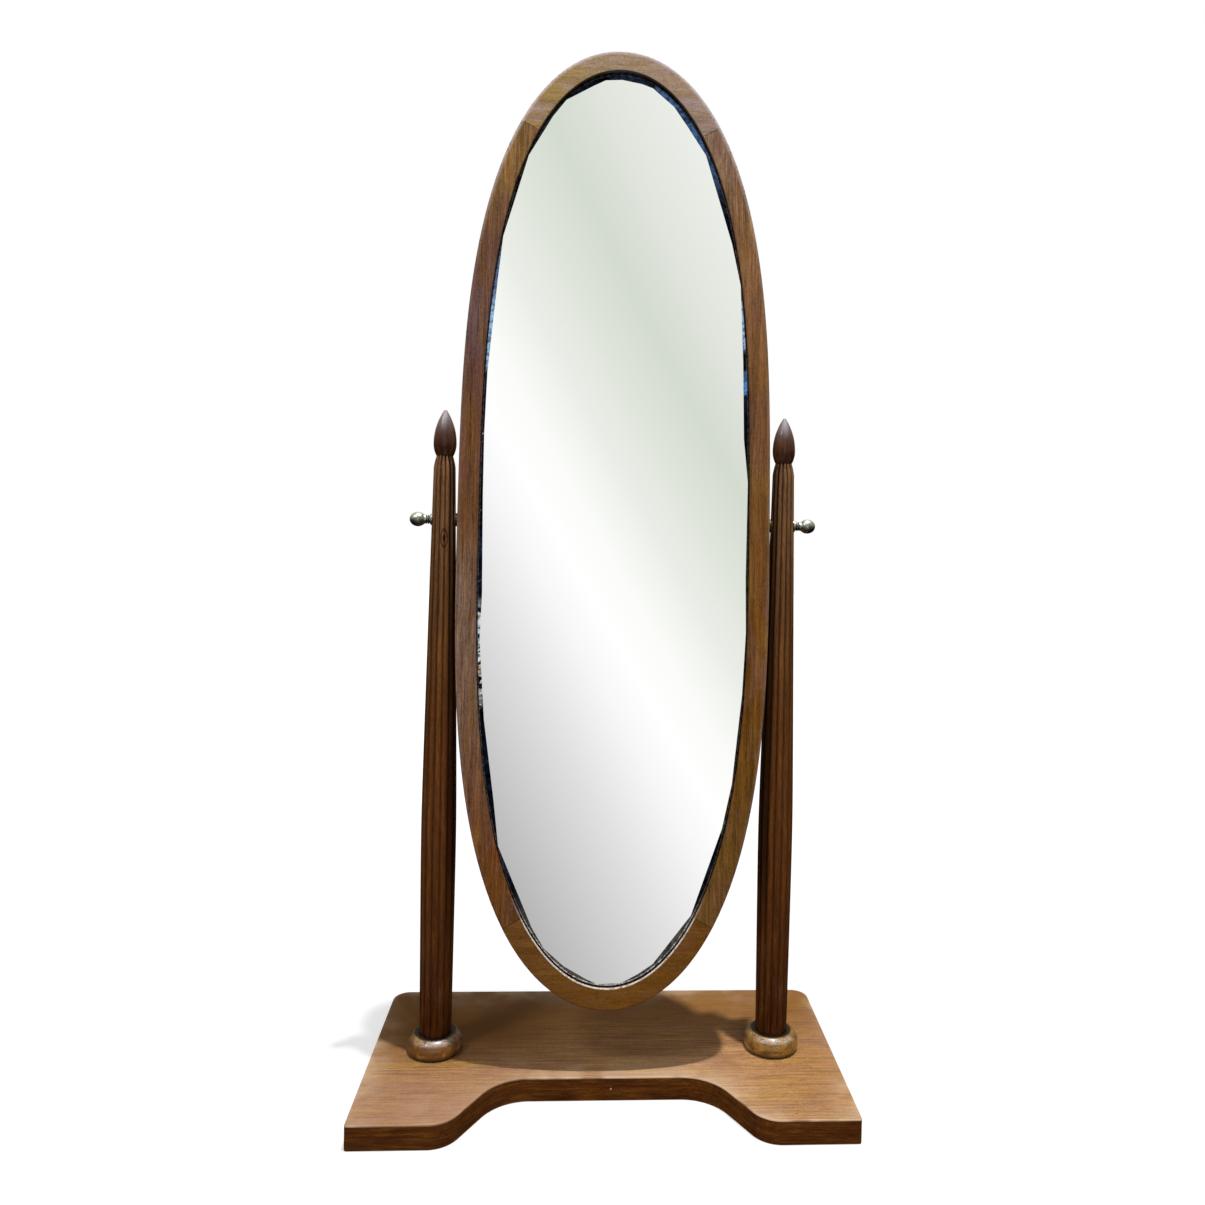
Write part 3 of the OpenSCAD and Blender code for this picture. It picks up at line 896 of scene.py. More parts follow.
@dataclass
class Post:
    """A turned post with reeds from its foot to its top. Sizes in millimetres."""

    side: Side
    inner_x: float = 241.1
    foot_z: float = 64.0
    belly_z: float = 385.0
    shoulder_z: float = 917.0
    top_z: float = 937.0
    foot_r: float = 23.9
    belly_r: float = 26.8
    belly_round: float = 1.4
    neck_r: float = 16.4
    top_r: float = 12.3
    reeds: int = 14
    reed_depth: float = 1.5
    reed_steps: int = 10
    arch: float = 14.0
    scallop: float = 8.0
    shaft_steps: int = 44
    shoulder_steps: int = 12
    cap_r: float = 9.0
    cap_drop: float = 0.3
    tenon_r: float = 15.0
    tenon_z: float = 15.0
    flat_depth: float = 1.5
    flat_inner_r: float = 10.5
    flat_outer_r: float = 10.0
    hole_r: float = 6.1
    arch_dip: float = 0.9
    # A painted highlight on the arches' ends.
    arch_highlight: float = 0.4
    # Staining and painted shade in the grooves, darker higher up.
    stain_and_shade_at: tuple[float, float] = (0.35, 1.0)
    stain_and_shade_z: tuple[float, float] = (540.0, 840.0)
    stain_and_shade: float = 0.55
    stain_and_shade_more: float = 0.28
    # A painted shadow on the side by the mirror, from about 180 mm up.
    shadow_at: tuple[float, float] = (0.40, 0.75)
    shadow_z: tuple[float, float] = (180.0, 320.0)
    shadow: float = 0.65

    @property
    def flat_x(self) -> float:
        """How far the pivot's flats are from the post's axis."""
        return self.radius(PIVOT_Z) - self.flat_depth

    @property
    def post_x(self) -> float:
        """How far the post's axis is from the middle."""
        return self.inner_x + self.flat_x

    def radius(self, z: float) -> float:
        """Radius over the reeds at a height: two tapers that meet in a rounded belly, then a shoulder.

        Args:
            z: the height.

        Returns:
            The radius.
        """
        if z > self.shoulder_z:
            up = climb(z, self.shoulder_z, self.top_z)
            return self.top_r + (self.neck_r - self.top_r) * (1 - up ** 1.5)
        low = self.foot_r + (self.belly_r - self.foot_r) * (z - self.foot_z) / (self.belly_z - self.foot_z)
        fall = (z - self.belly_z) / (self.shoulder_z - self.belly_z)
        high = self.belly_r + (self.neck_r - self.belly_r) * fall
        return (low + high - math.hypot(low - high, self.belly_round)) / 2

    def heights(self) -> list[float]:
        """Heights of the rings, closer over the shoulder.

        Returns:
            The heights, from the foot to the top.
        """
        long = self.shoulder_z - self.arch - self.foot_z
        shaft = [self.foot_z + long * i / self.shaft_steps for i in range(self.shaft_steps + 1)]
        turn = [math.radians(90) * i / self.shoulder_steps for i in range(self.shoulder_steps + 1)]
        return shaft + [self.shoulder_z + (self.top_z - self.shoulder_z) * math.sin(t) for t in turn]

    def shade(self, across: float, angle: float, z: float) -> float:
        """How dark the reeds are painted: staining and painted shade in the grooves, and a painted shadow on
        the side by the mirror.

        Args:
            across: -1 to 1 across a reed.
            angle: where the point is round the post, from +X.
            z: the point's height.

        Returns:
            0 for none to 1 for the darkest.
        """
        grooved = climb(abs(across), *self.stain_and_shade_at) ** 1.2
        inner = climb(-self.side.value * math.cos(angle), *self.shadow_at)
        stain_and_shade = grooved * (self.stain_and_shade + self.stain_and_shade_more * climb(z, *self.stain_and_shade_z))
        return min(1.0, stain_and_shade + inner * climb(z, *self.shadow_z) * self.shadow)

    def reeded(self, vert: Vert, z: float, groove: Layer, wear: Layer) -> None:
        """Put a ring's vertex on its reed, which ends in an arch, and mark its staining with painted shade,
        and a painted highlight on the arch's end.

        Args:
            vert: the vertex.
            z: the ring's height.
            groove: the layer of staining and painted shade.
            wear: the layer of rubbing and painted highlights.
        """
        angle = math.atan2(vert.co.y, vert.co.x)
        across = (angle / math.tau * self.reeds) % 1.0 * 2 - 1
        dip = 1 - math.sqrt(max(0.0, 1 - across * across))
        end = climb(z, self.shoulder_z - self.arch, self.top_z)
        r = self.radius(z) - self.reed_depth * dip * (1 + self.arch_dip * end)
        move_out(vert, r, z - self.scallop * across ** 2 * end ** 3)
        vert[groove] = self.shade(across, angle, z)
        vert[wear] = self.arch_highlight * end ** 8

    def tenon(self, bm: Mesh, groove: Layer) -> None:
        """Draw a plain round tenon out of the reeded foot.

        Args:
            bm: the post's mesh.
            groove: the layer of staining and painted shade.
        """
        foot = [f for f in bm.faces if f.normal.z < -FLAT]
        margin = self.radius(self.foot_z) - self.reed_depth - self.tenon_r
        bmesh.ops.inset_region(bm, faces=foot, thickness=margin, use_even_offset=True)
        count = self.reeds * self.reed_steps
        end = [f for f in bm.faces if f.normal.z < -FLAT and len(f.verts) == count]
        for vert in end[0].verts:
            move_out(vert, self.tenon_r, vert.co.z)
            vert[groove] = 0.0
        low = bmesh.ops.extrude_discrete_faces(bm, faces=end)["faces"]
        bmesh.ops.translate(bm, verts=low[0].verts[:], vec=(0, 0, self.tenon_z - self.foot_z))

    def build(self, material: Material) -> None:
        """Build the post.

        Args:
            material: its material.
        """
        bm = bmesh.new()
        groove = bm.verts.layers.float.new("groove")
        wear = bm.verts.layers.float.new("wear")
        ring = bmesh.ops.create_circle(bm, segments=self.reeds * self.reed_steps, radius=1.0)["verts"]
        edges = bm.edges[:]
        for number, z in enumerate(self.heights()):
            if number:
                ring, edges, _ = next_ring(bm, edges)
            for vert in ring:
                self.reeded(vert, z, groove, wear)
        cap_z = self.top_z - self.cap_drop
        # The cap under the finial is marked fully dark: painted shade in the notches between the arches.
        for vert in next_ring(bm, edges)[0]:
            move_out(vert, self.cap_r, cap_z)
            vert[groove], vert[wear] = 1.0, 0.0
        for height in (self.foot_z, cap_z):
            bmesh.ops.edgeloop_fill(bm, edges=boundary_at(bm, height))
        bmesh.ops.recalc_face_normals(bm, faces=bm.faces)
        self.tenon(bm, groove)
        bmesh.ops.recalc_face_normals(bm, faces=bm.faces)
        word = self.side.word
        to = Matrix.Translation((self.side.value * self.post_x, POST_Y, 0))
        role = Role(word + "_reeded_post", "stand", "post_wood", (word + "_post",))
        piece = placed(bm, role, material, to, crease=35.0)
        cut(piece, self.pivot_hole())

    def pivot_hole(self) -> Mesh:
        """The flats and the hole that the pivot's hardware sits in, as one turned shape.

        Returns:
            The shape to take out, where it stands.
        """
        bm = bmesh.new()
        reach, flat, steps = 30.0, self.flat_x, 48
        path = Profile(bm, 0, -reach).to((self.flat_inner_r, -reach), (self.flat_inner_r, -flat))
        path.to((self.hole_r, -flat), (self.hole_r, flat))
        path.to((self.flat_outer_r, flat), (self.flat_outer_r, reach), (0, reach))
        spun(bm, steps)
        centre = Matrix.Translation((self.side.value * self.post_x, POST_Y, PIVOT_Z))
        bm.transform(centre @ Matrix.Rotation(self.side.value * math.pi / 2, 4, "Y"))
        return bm


@dataclass
class Turnings:
    """The turned collars, finials, bushes and knobs of one side. Sizes in millimetres."""

    post: Post
    bore: float = 4.05
    knob_gap: float = 2.3
    steps: int = 96

    def _turn(self, draw: Callable[[Mesh], None], role: Role, material: Material, to: Matrix) -> None:
        """Spin a profile and put it in place.

        Args:
            draw: draws the profile.
            role: the piece.
            material: its material.
            to: moves the piece to its place.
        """
        bm = bmesh.new()
        bm.verts.layers.float.new("groove")
        draw(bm)
        spun(bm, self.steps)
        placed(bm, role, material, to)

    @staticmethod
    def _collar(bm: Mesh) -> None:
        """Profile of the bun under a post: an elliptical belly over a tighter foot.

        Args:
            bm: the mesh to draw in.
        """
        bore, foot, belly, top, bulge, height = 15.1, 38.0, 41.5, 25.2, 10.0, 29.0
        rim, sunk = top - 2.2, height - 0.6
        path = Profile(bm, bore, 0).to((foot, 0)).bow(foot, bulge, 90, 10, bulge / (belly - foot))
        path.bow(top, bulge, 90, 20, (height - bulge) / (belly - top))
        path.to((rim, sunk), (bore, sunk), (bore, 0))

    @staticmethod
    def _finial(bm: Mesh) -> None:
        """Profile of the bud on a post: two arcs and a blunt tip, with a spigot below.

        Args:
            bm: the mesh to draw in.
        """
        height, belly, bulge, neck, tip, spigot_r, spigot = 69.0, 17.1, 18.0, 12.6, 3.0, 5.0, 20.0
        low_arc = (bulge ** 2 + (belly - neck) ** 2) / (2 * (belly - neck))
        low_turn = math.degrees(math.asin(bulge / low_arc))
        rise = height - tip - bulge
        high_arc = (rise ** 2 + belly ** 2 - tip ** 2) / (2 * (belly - tip))
        high_turn = math.degrees(math.atan2(rise, high_arc - belly))
        path = Profile(bm, 0, -spigot).to((spigot_r, -spigot), (spigot_r, 0), (neck, 0))
        path.bow(belly - low_arc, bulge, low_turn, 12).bow(belly - high_arc, bulge, high_turn, 22)
        path.bow(0, height - tip, 90 - high_turn, 5)

    def _bush(self, bm: Mesh) -> None:
        """Profile of the flanged sleeve through a post, from its inner end.

        Args:
            bm: the mesh to draw in.
        """
        sleeve, flange, thick, edge, inner = 6.0, 9.5, 2.0, 0.7, -2 * self.post.flat_x
        path = Profile(bm, self.bore, inner).to((sleeve, inner), (sleeve, 0), (flange, 0))
        path.to((flange, thick - edge)).bow(flange - edge, thick - edge, 90, 4)
        path.to((self.bore, thick), (self.bore, inner))

    @staticmethod
    def _groove(path: Profile, radius: float, low: float, high: float) -> None:
        """Draw a groove in a profile, with grime at its bottom.

        Args:
            path: the profile so far.
            radius: the groove's own radius.
            low: the height of its lower corner.
            high: the height of its upper one.
        """
        grime = path.bm.verts.layers.float["groove"]
        for height in (low, high):
            path.to((radius, height))
            path.last[grime] = 1.0

    def _knob(self, bm: Mesh) -> None:
        """Profile of a knob from its face: a flared ring, a bead, a neck and a ball.

        Args:
            bm: the mesh to draw in.
        """
        ring, flare, bead, groove = 7.4, 7.9, 6.3, 5.5
        neck, ball, tall, middle, depth = 7.0, 10.8, 1.14, 20.0, 21.8
        reach = math.sqrt(ball ** 2 - neck ** 2)
        path = Profile(bm, self.bore, 0).to((ring, 0)).bow(ring, 0.4, 90, 3)
        path.to((flare, 1.1)).bow(flare - 0.3, 1.2, 100, 4)
        self._groove(path, groove, 2.1, 3.4)
        path.to((bead, 3.6)).bow(bead, 4.5, 180, 8)
        self._groove(path, groove, 5.5, 6.8)
        path.to((6.6, 7.0), (6.5, 8.8), (neck, middle - reach * tall))
        path.bow(0, middle, 90 + math.degrees(math.atan2(reach, neck)), 26, tall)
        Profile(bm, self.bore, 0).to((self.bore, depth), (0, depth))

    def build(self, collar: Material, finial: Material, metal: Material) -> None:
        """Build the pieces of this side.

        Args:
            collar: the collar's material.
            finial: the finial's material.
            metal: the material of the bush and the knob.
        """
        post, way, word = self.post, self.post.side.value, self.post.side.word
        x = way * post.post_x
        face = x + way * post.flat_x
        outward = Matrix.Rotation(way * math.pi / 2, 4, "Y")
        self._turn(self._collar, Role(word + "_bun_collar", "stand", "collar_wood", (word + "_collar",)),
                   collar, Matrix.Translation((x, POST_Y, BASE_TOP)))
        self._turn(self._finial, Role(word + "_bud_finial", "stand", "finial_wood", (word + "_finial",)),
                   finial, Matrix.Translation((x, POST_Y, post.top_z)))
        self._turn(self._bush, Role(word + "_flanged_bush", "stand", "knob_metal", (word + "_pivot_bush",)),
                   metal, Matrix.Translation((face, POST_Y, PIVOT_Z)) @ outward)
        self._turn(self._knob, Role(word + "_ball_knob", word + "_knob", "knob_metal", (word + "_knob",)),
                   metal, Matrix.Translation((face + way * self.knob_gap, POST_Y, PIVOT_Z)) @ outward)


# The mirror


@dataclass
class Oval:
    """The frame's outline, |x/a|^2.05 + |z/b|^3.1 = 1, and where it stands. Sizes in millimetres."""

    width: float = 473.0
    height: float = 1454.0
    end_power: float = 2.05
    side_power: float = 3.1
    joint_z: float = 610.0
    lean: float = 5.0
    rise: float = 11.0

    def x_at(self, z: float) -> float:
        """Half-width at a height from the middle."""
        share = 1 - (abs(z) / (self.height / 2)) ** self.side_power
        return self.width / 2 * share ** (1 / self.end_power)

    def z_at(self, x: float) -> float:
        """Half-height at a distance from the middle."""
        share = 1 - (abs(x) / (self.width / 2)) ** self.end_power
        return self.height / 2 * share ** (1 / self.side_power)

    def side_points(self, steps: int) -> list[Vector]:
        """Points up the right side, from joint to joint."""
        heights = [self.joint_z * (2 * i / steps - 1) for i in range(steps + 1)]
        return [Vector((self.x_at(z), z)) for z in heights]

    def top_points(self, steps: int) -> list[Vector]:
        """Points over the top, from the right joint to the left one.

        Args:
            steps: how many edges.

        Returns:
            The points.
        """
        edge = self.x_at(self.joint_z)
        reach = math.asin(min(1.0, edge / (self.width / 2)))
        angles = [reach * (1 - 2 * i / steps) for i in range(steps + 1)]
        return [Vector((x, self.z_at(x))) for x in (self.width / 2 * math.sin(t) for t in angles)]

    def inside(self, p: Vector, w: float) -> Vector:
        """Point inside the outline, along its normal.

        Args:
            p: a point of the outline.
            w: how far inside it the new point is.

        Returns:
            The new point.
        """
        half_w, half_h = self.width / 2, self.height / 2
        slope_x = self.end_power * (abs(p.x) / half_w) ** (self.end_power - 1) / half_w
        slope_z = self.side_power * (abs(p.y) / half_h) ** (self.side_power - 1) / half_h
        slope = Vector((math.copysign(slope_x, p.x), math.copysign(slope_z, p.y)))
        return p - slope.normalized() * w

    def standing(self) -> Matrix:
        """Puts a shape about the oval's middle where the mirror stands."""
        return (Matrix.Translation((0, POST_Y, PIVOT_Z)) @ Matrix.Rotation(math.radians(-self.lean), 4, "X")
                @ Matrix.Translation((0, 0, self.rise)))

    def place(self) -> Place:
        """The mirror's own axes for its materials."""
        return Place(tuple(self.standing().translation * MM), (math.radians(-self.lean), 0.0, 0.0))


@dataclass
class OvalFrame:
    """The four curved lengths that the frame is glued up from. Sizes in millimetres."""

    oval: Oval
    face: float = 31.0
    thick: float = 22.0
    arris: float = 1.5
    lip: float = 8.0
    lip_thick: float = 7.0
    rim: float = 6.0
    rubbed: float = 2.0
    # A painted shade on the lip's inner wall.
    wall_shade: float = 0.9
    # A painted highlight on the inner arris near the bottom.
    inner_highlight: float = 0.85
    inner_highlight_z: tuple[float, float] = (560.0, 610.0)
    outer_wear: float = 0.12
    outer_wear_z: tuple[float, float] = (-540.0, -460.0)
    # A painted highlight on the outer arris high up.
    top_highlight: float = 0.88
    top_highlight_z: tuple[float, float] = (380.0, 600.0)
    side_steps: int = 64
    top_steps: int = 56

    def section(self, bm: Mesh) -> None:
        """Draw the frame's section: distance inside the outline on X, front to back on Y.

        Args:
            bm: the mesh to draw in.
        """
        front, back, r = -self.thick / 2, self.thick / 2, self.arris
        rebate, lip_back = self.face - self.lip, self.lip_thick - self.thick / 2
        path = Outline(bm, (r, front, 0), (0, 0, -1))
        path.arc((r, front + r, 0), 90, 4).line(0, front + r + 0.8, 0)
        path.line(0, back - r, 0).arc((r, back - r, 0), 90, 4)
        path.line(rebate, back, 0).line(rebate, lip_back, 0)
        for y in (lip_back, front + r + self.rubbed + 0.4, front + r + self.rubbed, front + r):
            path.line(self.face, y, 0)
        path.arc((self.face - r, front + r, 0), 90, 4)
        path.line(self.rim, front, 0).line(r, front, 0)
        bmesh.ops.remove_doubles(bm, verts=bm.verts, dist=NEAR)

    def worn(self, at: float, height: float) -> float:
        """How much of the worn colour the front's edges take: a painted highlight on the inner one low down,
        a little rubbing on the outer one above the bottom, and a painted highlight on the outer one high up.

        Args:
            at: distance inside the outline.
            height: height from the oval's middle.

        Returns:
            0 for none to 1 for the full worn colour.
        """
        if at > self.face - self.arris + NEAR:
            return self.inner_highlight * climb(-height, *self.inner_highlight_z)
        if at > self.arris + NEAR:
            return 0.0
        low = self.outer_wear * climb(height, *self.outer_wear_z)
        return low + self.top_highlight * climb(height, *self.top_highlight_z)

    def length(self, points: Sequence[Vector], role: Role, material: Material) -> None:
        """Sweep the section along part of the outline.

        Args:
            points: the part of the outline.
            role: the piece.
            material: its material.
        """
        bm = bmesh.new()
        self.section(bm)
        at = bm.verts.layers.float.new("at")
        wear = bm.verts.layers.float.new("wear")
        groove = bm.verts.layers.float.new("groove")
        edge_back = self.arris - self.thick / 2 + self.rubbed + NEAR
        for vert in bm.verts:
            vert[at] = vert.co.x
            # The lip's inner wall takes painted shade.
            on_wall = vert.co.x > self.face - NEAR and vert.co.y > edge_back
            vert[groove] = self.wall_shade if on_wall else 0.0
        ring, edges = bm.verts[:], bm.edges[:]
        first = edges
        for number, point in enumerate(points):
            if number:
                ring, edges, _ = next_ring(bm, edges)
            for vert in ring:
                spot = self.oval.inside(point, vert[at])
                vert.co.x, vert.co.z = spot.x, spot.y
                # The front takes the worn colour: rubbing and painted highlights.
                if vert.co.y < edge_back:
                    vert[wear] = self.worn(vert[at], spot.y)
        for loop in (first, edges):
            bmesh.ops.edgeloop_fill(bm, edges=loop)
        bmesh.ops.recalc_face_normals(bm, faces=bm.faces)
        placed(bm, role, material, self.oval.standing(), crease=40.0)


@dataclass
class Glass:
    """The bevelled glass. Sizes in millimetres. The slim marks are heights from the oval's middle
    and how much narrower the bevel is there."""

    oval: Oval
    edge_at: float = 23.8
    bevel: float = 16.0
    drop: float = 2.0
    front_y: float = -4.95
    thick: float = 5.0
    facet: int = 8
    facet_vary: float = 3.0
    uneven: float = 2.2
    side_steps: int = 90
    top_steps: int = 72
    left_slim: tuple[tuple[float, float], ...] = (
        (-700, 6), (-480, 6), (-400, 2), (-300, 2.5), (-200, 4), (-60, 5.5), (95, 4.5), (225, 3.5),
        (320, 4.5), (445, 7.5), (600, 7), (660, 6), (705, 1), (727, 0))
    right_slim: tuple[tuple[float, float], ...] = (
        (-700, 6), (-500, 6), (-400, 7), (60, 6.5), (130, 4), (300, 4.5), (380, 7), (530, 7),
        (610, 0), (727, 0))

    def slimmer(self, point: Vector) -> float:
        """How much narrower the bevel is at a place.

        Args:
            point: the place, from the oval's middle.

        Returns:
            The width between the marks below and above it on that side.
        """
        marks = self.right_slim if point.x > 0 else self.left_slim
        for (low, first), (high, last) in zip(marks, marks[1:]):
            if point.y <= high:
                return first + (last - first) * max(0.0, point.y - low) / (high - low)
        return marks[-1][1]

    def ground(self, outline: Sequence[Vector], at: float) -> list[Vector]:
        """The bevel's inner line, which was ground by hand in short straight runs.

        Args:
            outline: points of the oval.
            at: how far inside it the line is.

        Returns:
            A point for each of the outline's.
        """
        count = len(outline)
        corners = [0]
        while corners[-1] < count - self.facet:
            stray = round(self.facet_vary * math.sin(2.4 * len(corners)))
            corners.append(corners[-1] + self.facet + stray)
        corners[-1] = count
        spots = []
        for c in corners:
            point = outline[c % count]
            wander = self.uneven * (1 + math.sin(1.9 * (c % count)))
            spots.append(self.oval.inside(point, at + wander - self.slimmer(point)))
        line = []
        for number, (a, b) in enumerate(zip(spots, spots[1:])):
            steps = corners[number + 1] - corners[number]
            line += [a.lerp(b, i / steps) for i in range(steps)]
        return line

    def build(self, material: Material) -> None:
        """Build the glass from its back edge to the inner line of its bevel.

        Args:
            material: its material.
        """
        side, top = self.oval.side_points(self.side_steps), self.oval.top_points(self.top_steps)
        half = side[:-1] + top[:-1]
        outline = half + [-p for p in half]
        edge = [self.oval.inside(p, self.edge_at) for p in outline]
        rims = ((edge, self.front_y + self.thick), (edge, self.front_y + self.drop),
                (self.ground(outline, self.edge_at + self.bevel), self.front_y))
        bm = bmesh.new()
        number_of = bm.verts.layers.int.new("number")
        mark = bm.faces.layers.float.new("bevel")
        ring = bmesh.ops.create_circle(bm, segments=len(outline), radius=1.0)["verts"]
        for number, vert in enumerate(ring):
            vert[number_of] = number
        edges = bm.edges[:]
        back, faces = edges, []
        for step, (spots, y) in enumerate(rims):
            if step:
                ring, edges, faces = next_ring(bm, edges)
            for vert in ring:
                spot = spots[vert[number_of]]
                vert.co = (spot.x, y, spot.y)
        for face in faces:
            face[mark] = 1.0
        for loop in (back, edges):
            bmesh.ops.edgeloop_fill(bm, edges=loop)
        bmesh.ops.recalc_face_normals(bm, faces=bm.faces)
        role = Role("bevelled_glass", "mirror", "mirror", ("mirror_glass",))
        placed(bm, role, material, self.oval.standing(), crease=3.0)


@dataclass
class BackScrews:
    """Slotted brass screws round the backing board. Sizes in millimetres."""

    oval: Oval
    head_r: float = 3.5
    shank_r: float = 1.75
    head: float = 2.2
    point: float = 3.0
    length: float = 14.0
    at: float = 17.5
    board_y: float = 15.0
    slot: float = 0.9
    slot_depth: float = 0.9
    side_z: tuple[float, ...] = (-480.0, -160.0, 160.0, 480.0)
    end_x: tuple[float, ...] = (-70.0, 70.0)
    turn_each: float = 2.4
    steps: int = 24

    def places(self) -> list[Vector]:
        """Where the screws are, four up each side and two at each end.

        Returns:
            Their places, from the oval's middle.
        """
        sides = [Vector((way * self.oval.x_at(z), z)) for way in (-1, 1) for z in self.side_z]
        ends = [Vector((x, way * self.oval.z_at(x))) for way in (-1, 1) for x in self.end_x]
        return [self.oval.inside(p, self.at) for p in sides + ends]

    def one(self, bm: Mesh, spot: Vector, turn: float) -> None:
        """Add a screw.

        Args:
            bm: the mesh that takes it.
            spot: its place on the board, from the oval's middle.
            turn: how far its slot is turned, in radians.
        """
        screw = bmesh.new()
        Profile(screw, 0, 0).to((self.head_r, 0), (self.shank_r, -self.head),
                                (self.shank_r, self.point - self.length), (0, -self.length))
        spun(screw, self.steps)
        for edge in (-self.slot / 2, self.slot / 2):
            bmesh.ops.bisect_plane(screw, geom=screw.verts[:] + screw.edges[:] + screw.faces[:],
                                   plane_co=(edge, 0, 0), plane_no=(1, 0, 0), dist=0.0001)
        tops = [f for f in screw.faces if f.normal.z > FLAT]
        strip = [f for f in tops if abs(f.calc_center_median().x) < self.slot / 2]
        sunk = bmesh.ops.extrude_face_region(screw, geom=strip)["geom"]
        bmesh.ops.delete(screw, geom=strip, context="FACES_ONLY")
        bmesh.ops.translate(screw, verts=[v for v in sunk if isinstance(v, Vert)],
                            vec=(0, 0, -self.slot_depth))
        place = (Matrix.Translation((spot.x, self.board_y, spot.y)) @ Matrix.Rotation(-math.pi / 2, 4, "X")
                 @ Matrix.Rotation(turn, 4, "Z"))
        screw.transform(place)
        mesh = mesh_of("screw", screw)
        bm.from_mesh(mesh)
        bpy.data.meshes.remove(mesh)

    def build(self, material: Material) -> None:
        """Build all the screws as one piece.

        Args:
            material: their material.
        """
        bm = bmesh.new()
        for number, spot in enumerate(self.places()):
            self.one(bm, spot, number * self.turn_each)
        role = Role("slotted_screws", "mirror", "screw_brass", ("backing_screws",))
        placed(bm, role, material, self.oval.standing())


# Finishes of this object

BASE = Wood("base_lacquered_oak",
            run=((-0.35, "a57a52"), (0.0, "a97d4f"), (0.22, "b4875a"), (0.35, "af7d49")),
            warm="9a6c4e", gold="b68a4a", deep="6a4220", patch_share=0.7, band_share=0.5, line_share=1.2,
            fibre_share=1.5, mottle_share=1.1, mottle_size=0.003, ring_pitch=0.0085, ring_share=0.10,
            roughness=0.45, gloss=0.06, grain=Grain.ALONG_X)
# The post's colour is darker towards the foot and lighter at the top: painted shade and light. Its worn
# colour lays the painted highlight on the arch ends; its groove colour, staining and painted shade.
POST = Wood("post_dark_oak",
            run=((0.06, "442007"), (0.30, "60340f"), (0.55, "633917"), (0.75, "6e4a28"), (0.92, "866040")),
            warm="5c3a28", gold="7a4f1e", deep="1c0c03", worn="b48a64", patch_share=0.3, patch_size=0.012,
            band_share=1.0, line_share=1.4, fibre_share=1.2, mottle_share=0.6, roughness=0.36, gloss=0.08,
            groove="180902")
COLLAR = Wood("collar_worn_lacquer",
              run=((-0.3, "6e4517"), (-0.24, "7d501d"), (0.22, "9c7030"), (0.3, "9c7030")),
              warm="40260f", gold="b98f4c", deep="2a1808", patch_share=0.7, patch_size=0.014,
              band_share=0.5, line_share=0.5, mottle_share=1.4, mottle_size=0.006, roughness=0.34,
              gloss=0.2, coat=1.0, coat_roughness=0.30, grain=Grain.ALONG_X)
# The finial's colour is dark low down and greyer and lilac higher up: a painted sheen.
FINIAL = Wood("finial_dark_oak",
              run=((0.937, "331503"), (0.951, "361705"), (0.966, "4e2d1b"), (0.985, "4a3024"),
                   (1.006, "4c3630")),
              warm="3c1c0e", gold="5a3414", deep="1a0d06", patch_size=0.010, mottle_share=1.0,
              roughness=0.36, gloss=0.1, coat=0.7, coat_roughness=0.30)
# The frame's lengths carry painted light in their colours: lighter, greyer and lilac towards the top as a
# painted sheen, darker towards the bottom as painted shade. Their worn colours lay painted highlights.
FRAME_TOP = Wood("frame_top_oak",
                 run=((-0.17, "93703f"), (-0.10, "a38550"), (0.02, "aa9076"), (0.17, "947a6c")),
                 warm="ab928c", gold="9e7e4e", deep="5c4528", patch_share=0.7, patch_size=0.014,
                 band_share=0.4, line_share=0.8, fibre_share=1.0, mottle_share=1.2, mottle_size=0.0035,
                 worn="d2c6c8", gloss=0.25, grain=Grain.ALONG_X)
FRAME_BOTTOM = Wood("frame_bottom_oak", run=((-0.17, "66431e"), (0.0, "6c4516"), (0.17, "674013")),
                    warm="70482a", gold="77521a", deep="341c08", patch_size=0.014, band_share=0.4,
                    line_share=0.6, mottle_share=1.0, mottle_size=0.0035, worn="f2ebe4", gloss=0.04,
                    grain=Grain.ALONG_X)
FRAME_LEFT = Wood("frame_left_oak",
                  run=((-0.62, "66401a"), (-0.50, "673a12"), (-0.21, "7d6250"), (-0.12, "7b6250"),
                       (-0.01, "6e4828"), (0.15, "64402c"), (0.29, "624a48"), (0.42, "6c4a36"),
                       (0.52, "8a683c"), (0.62, "8e6c40")),
                  warm="6c4638", gold="755024", deep="301a10", patch_size=0.020, band_share=1.0,
                  line_share=1.8, fibre_share=2.0, mottle_share=1.1, mottle_size=0.003, worn="cdbfba",
                  gloss=0.10)
FRAME_RIGHT = Wood("frame_right_oak",
                   run=((-0.62, "6a4a24"), (-0.45, "664418"), (-0.28, "673f0c"), (-0.05, "6e461e"),
                        (0.30, "82593a"), (0.47, "906b48"), (0.60, "9a7c68"), (0.62, "9a7c68")),
                   warm="75513a", gold="7e5a26", deep="3a220e", patch_size=0.020, band_share=1.0,
                   line_share=1.4, fibre_share=1.8, mottle_share=1.0, mottle_size=0.003, worn="cdbfba",
                   gloss=0.06)
BARE = Wood("bare_softwood", run=((-1.0, "cdb083"), (1.0, "cdb083")), warm="c09a70", gold="dcc08c",
            deep="a5845a", roughness=0.8, gloss=0.2)
PLY = Wood("backing_ply", run=((-1.0, "b3906a"), (1.0, "b3906a")), warm="a5825f", gold="c0a070",
           deep="8a6844", patch_size=0.08, ring_pitch=0.03, ring_share=0.12, roughness=0.75, gloss=0.2)
NICKEL = Metal("dulled_nickel", body="d3d5c8", tarnish="6e6a5a", roughness=0.34)
STEEL = Metal("plain_steel", body="b9b9b6", tarnish="6d6962", roughness=0.3)
ZINC = Metal("dulled_zinc", body="a9a8a2", tarnish="77736a", roughness=0.4)
BRASS = Metal("plain_brass", body="cda75c", tarnish="6f5325", roughness=0.3)
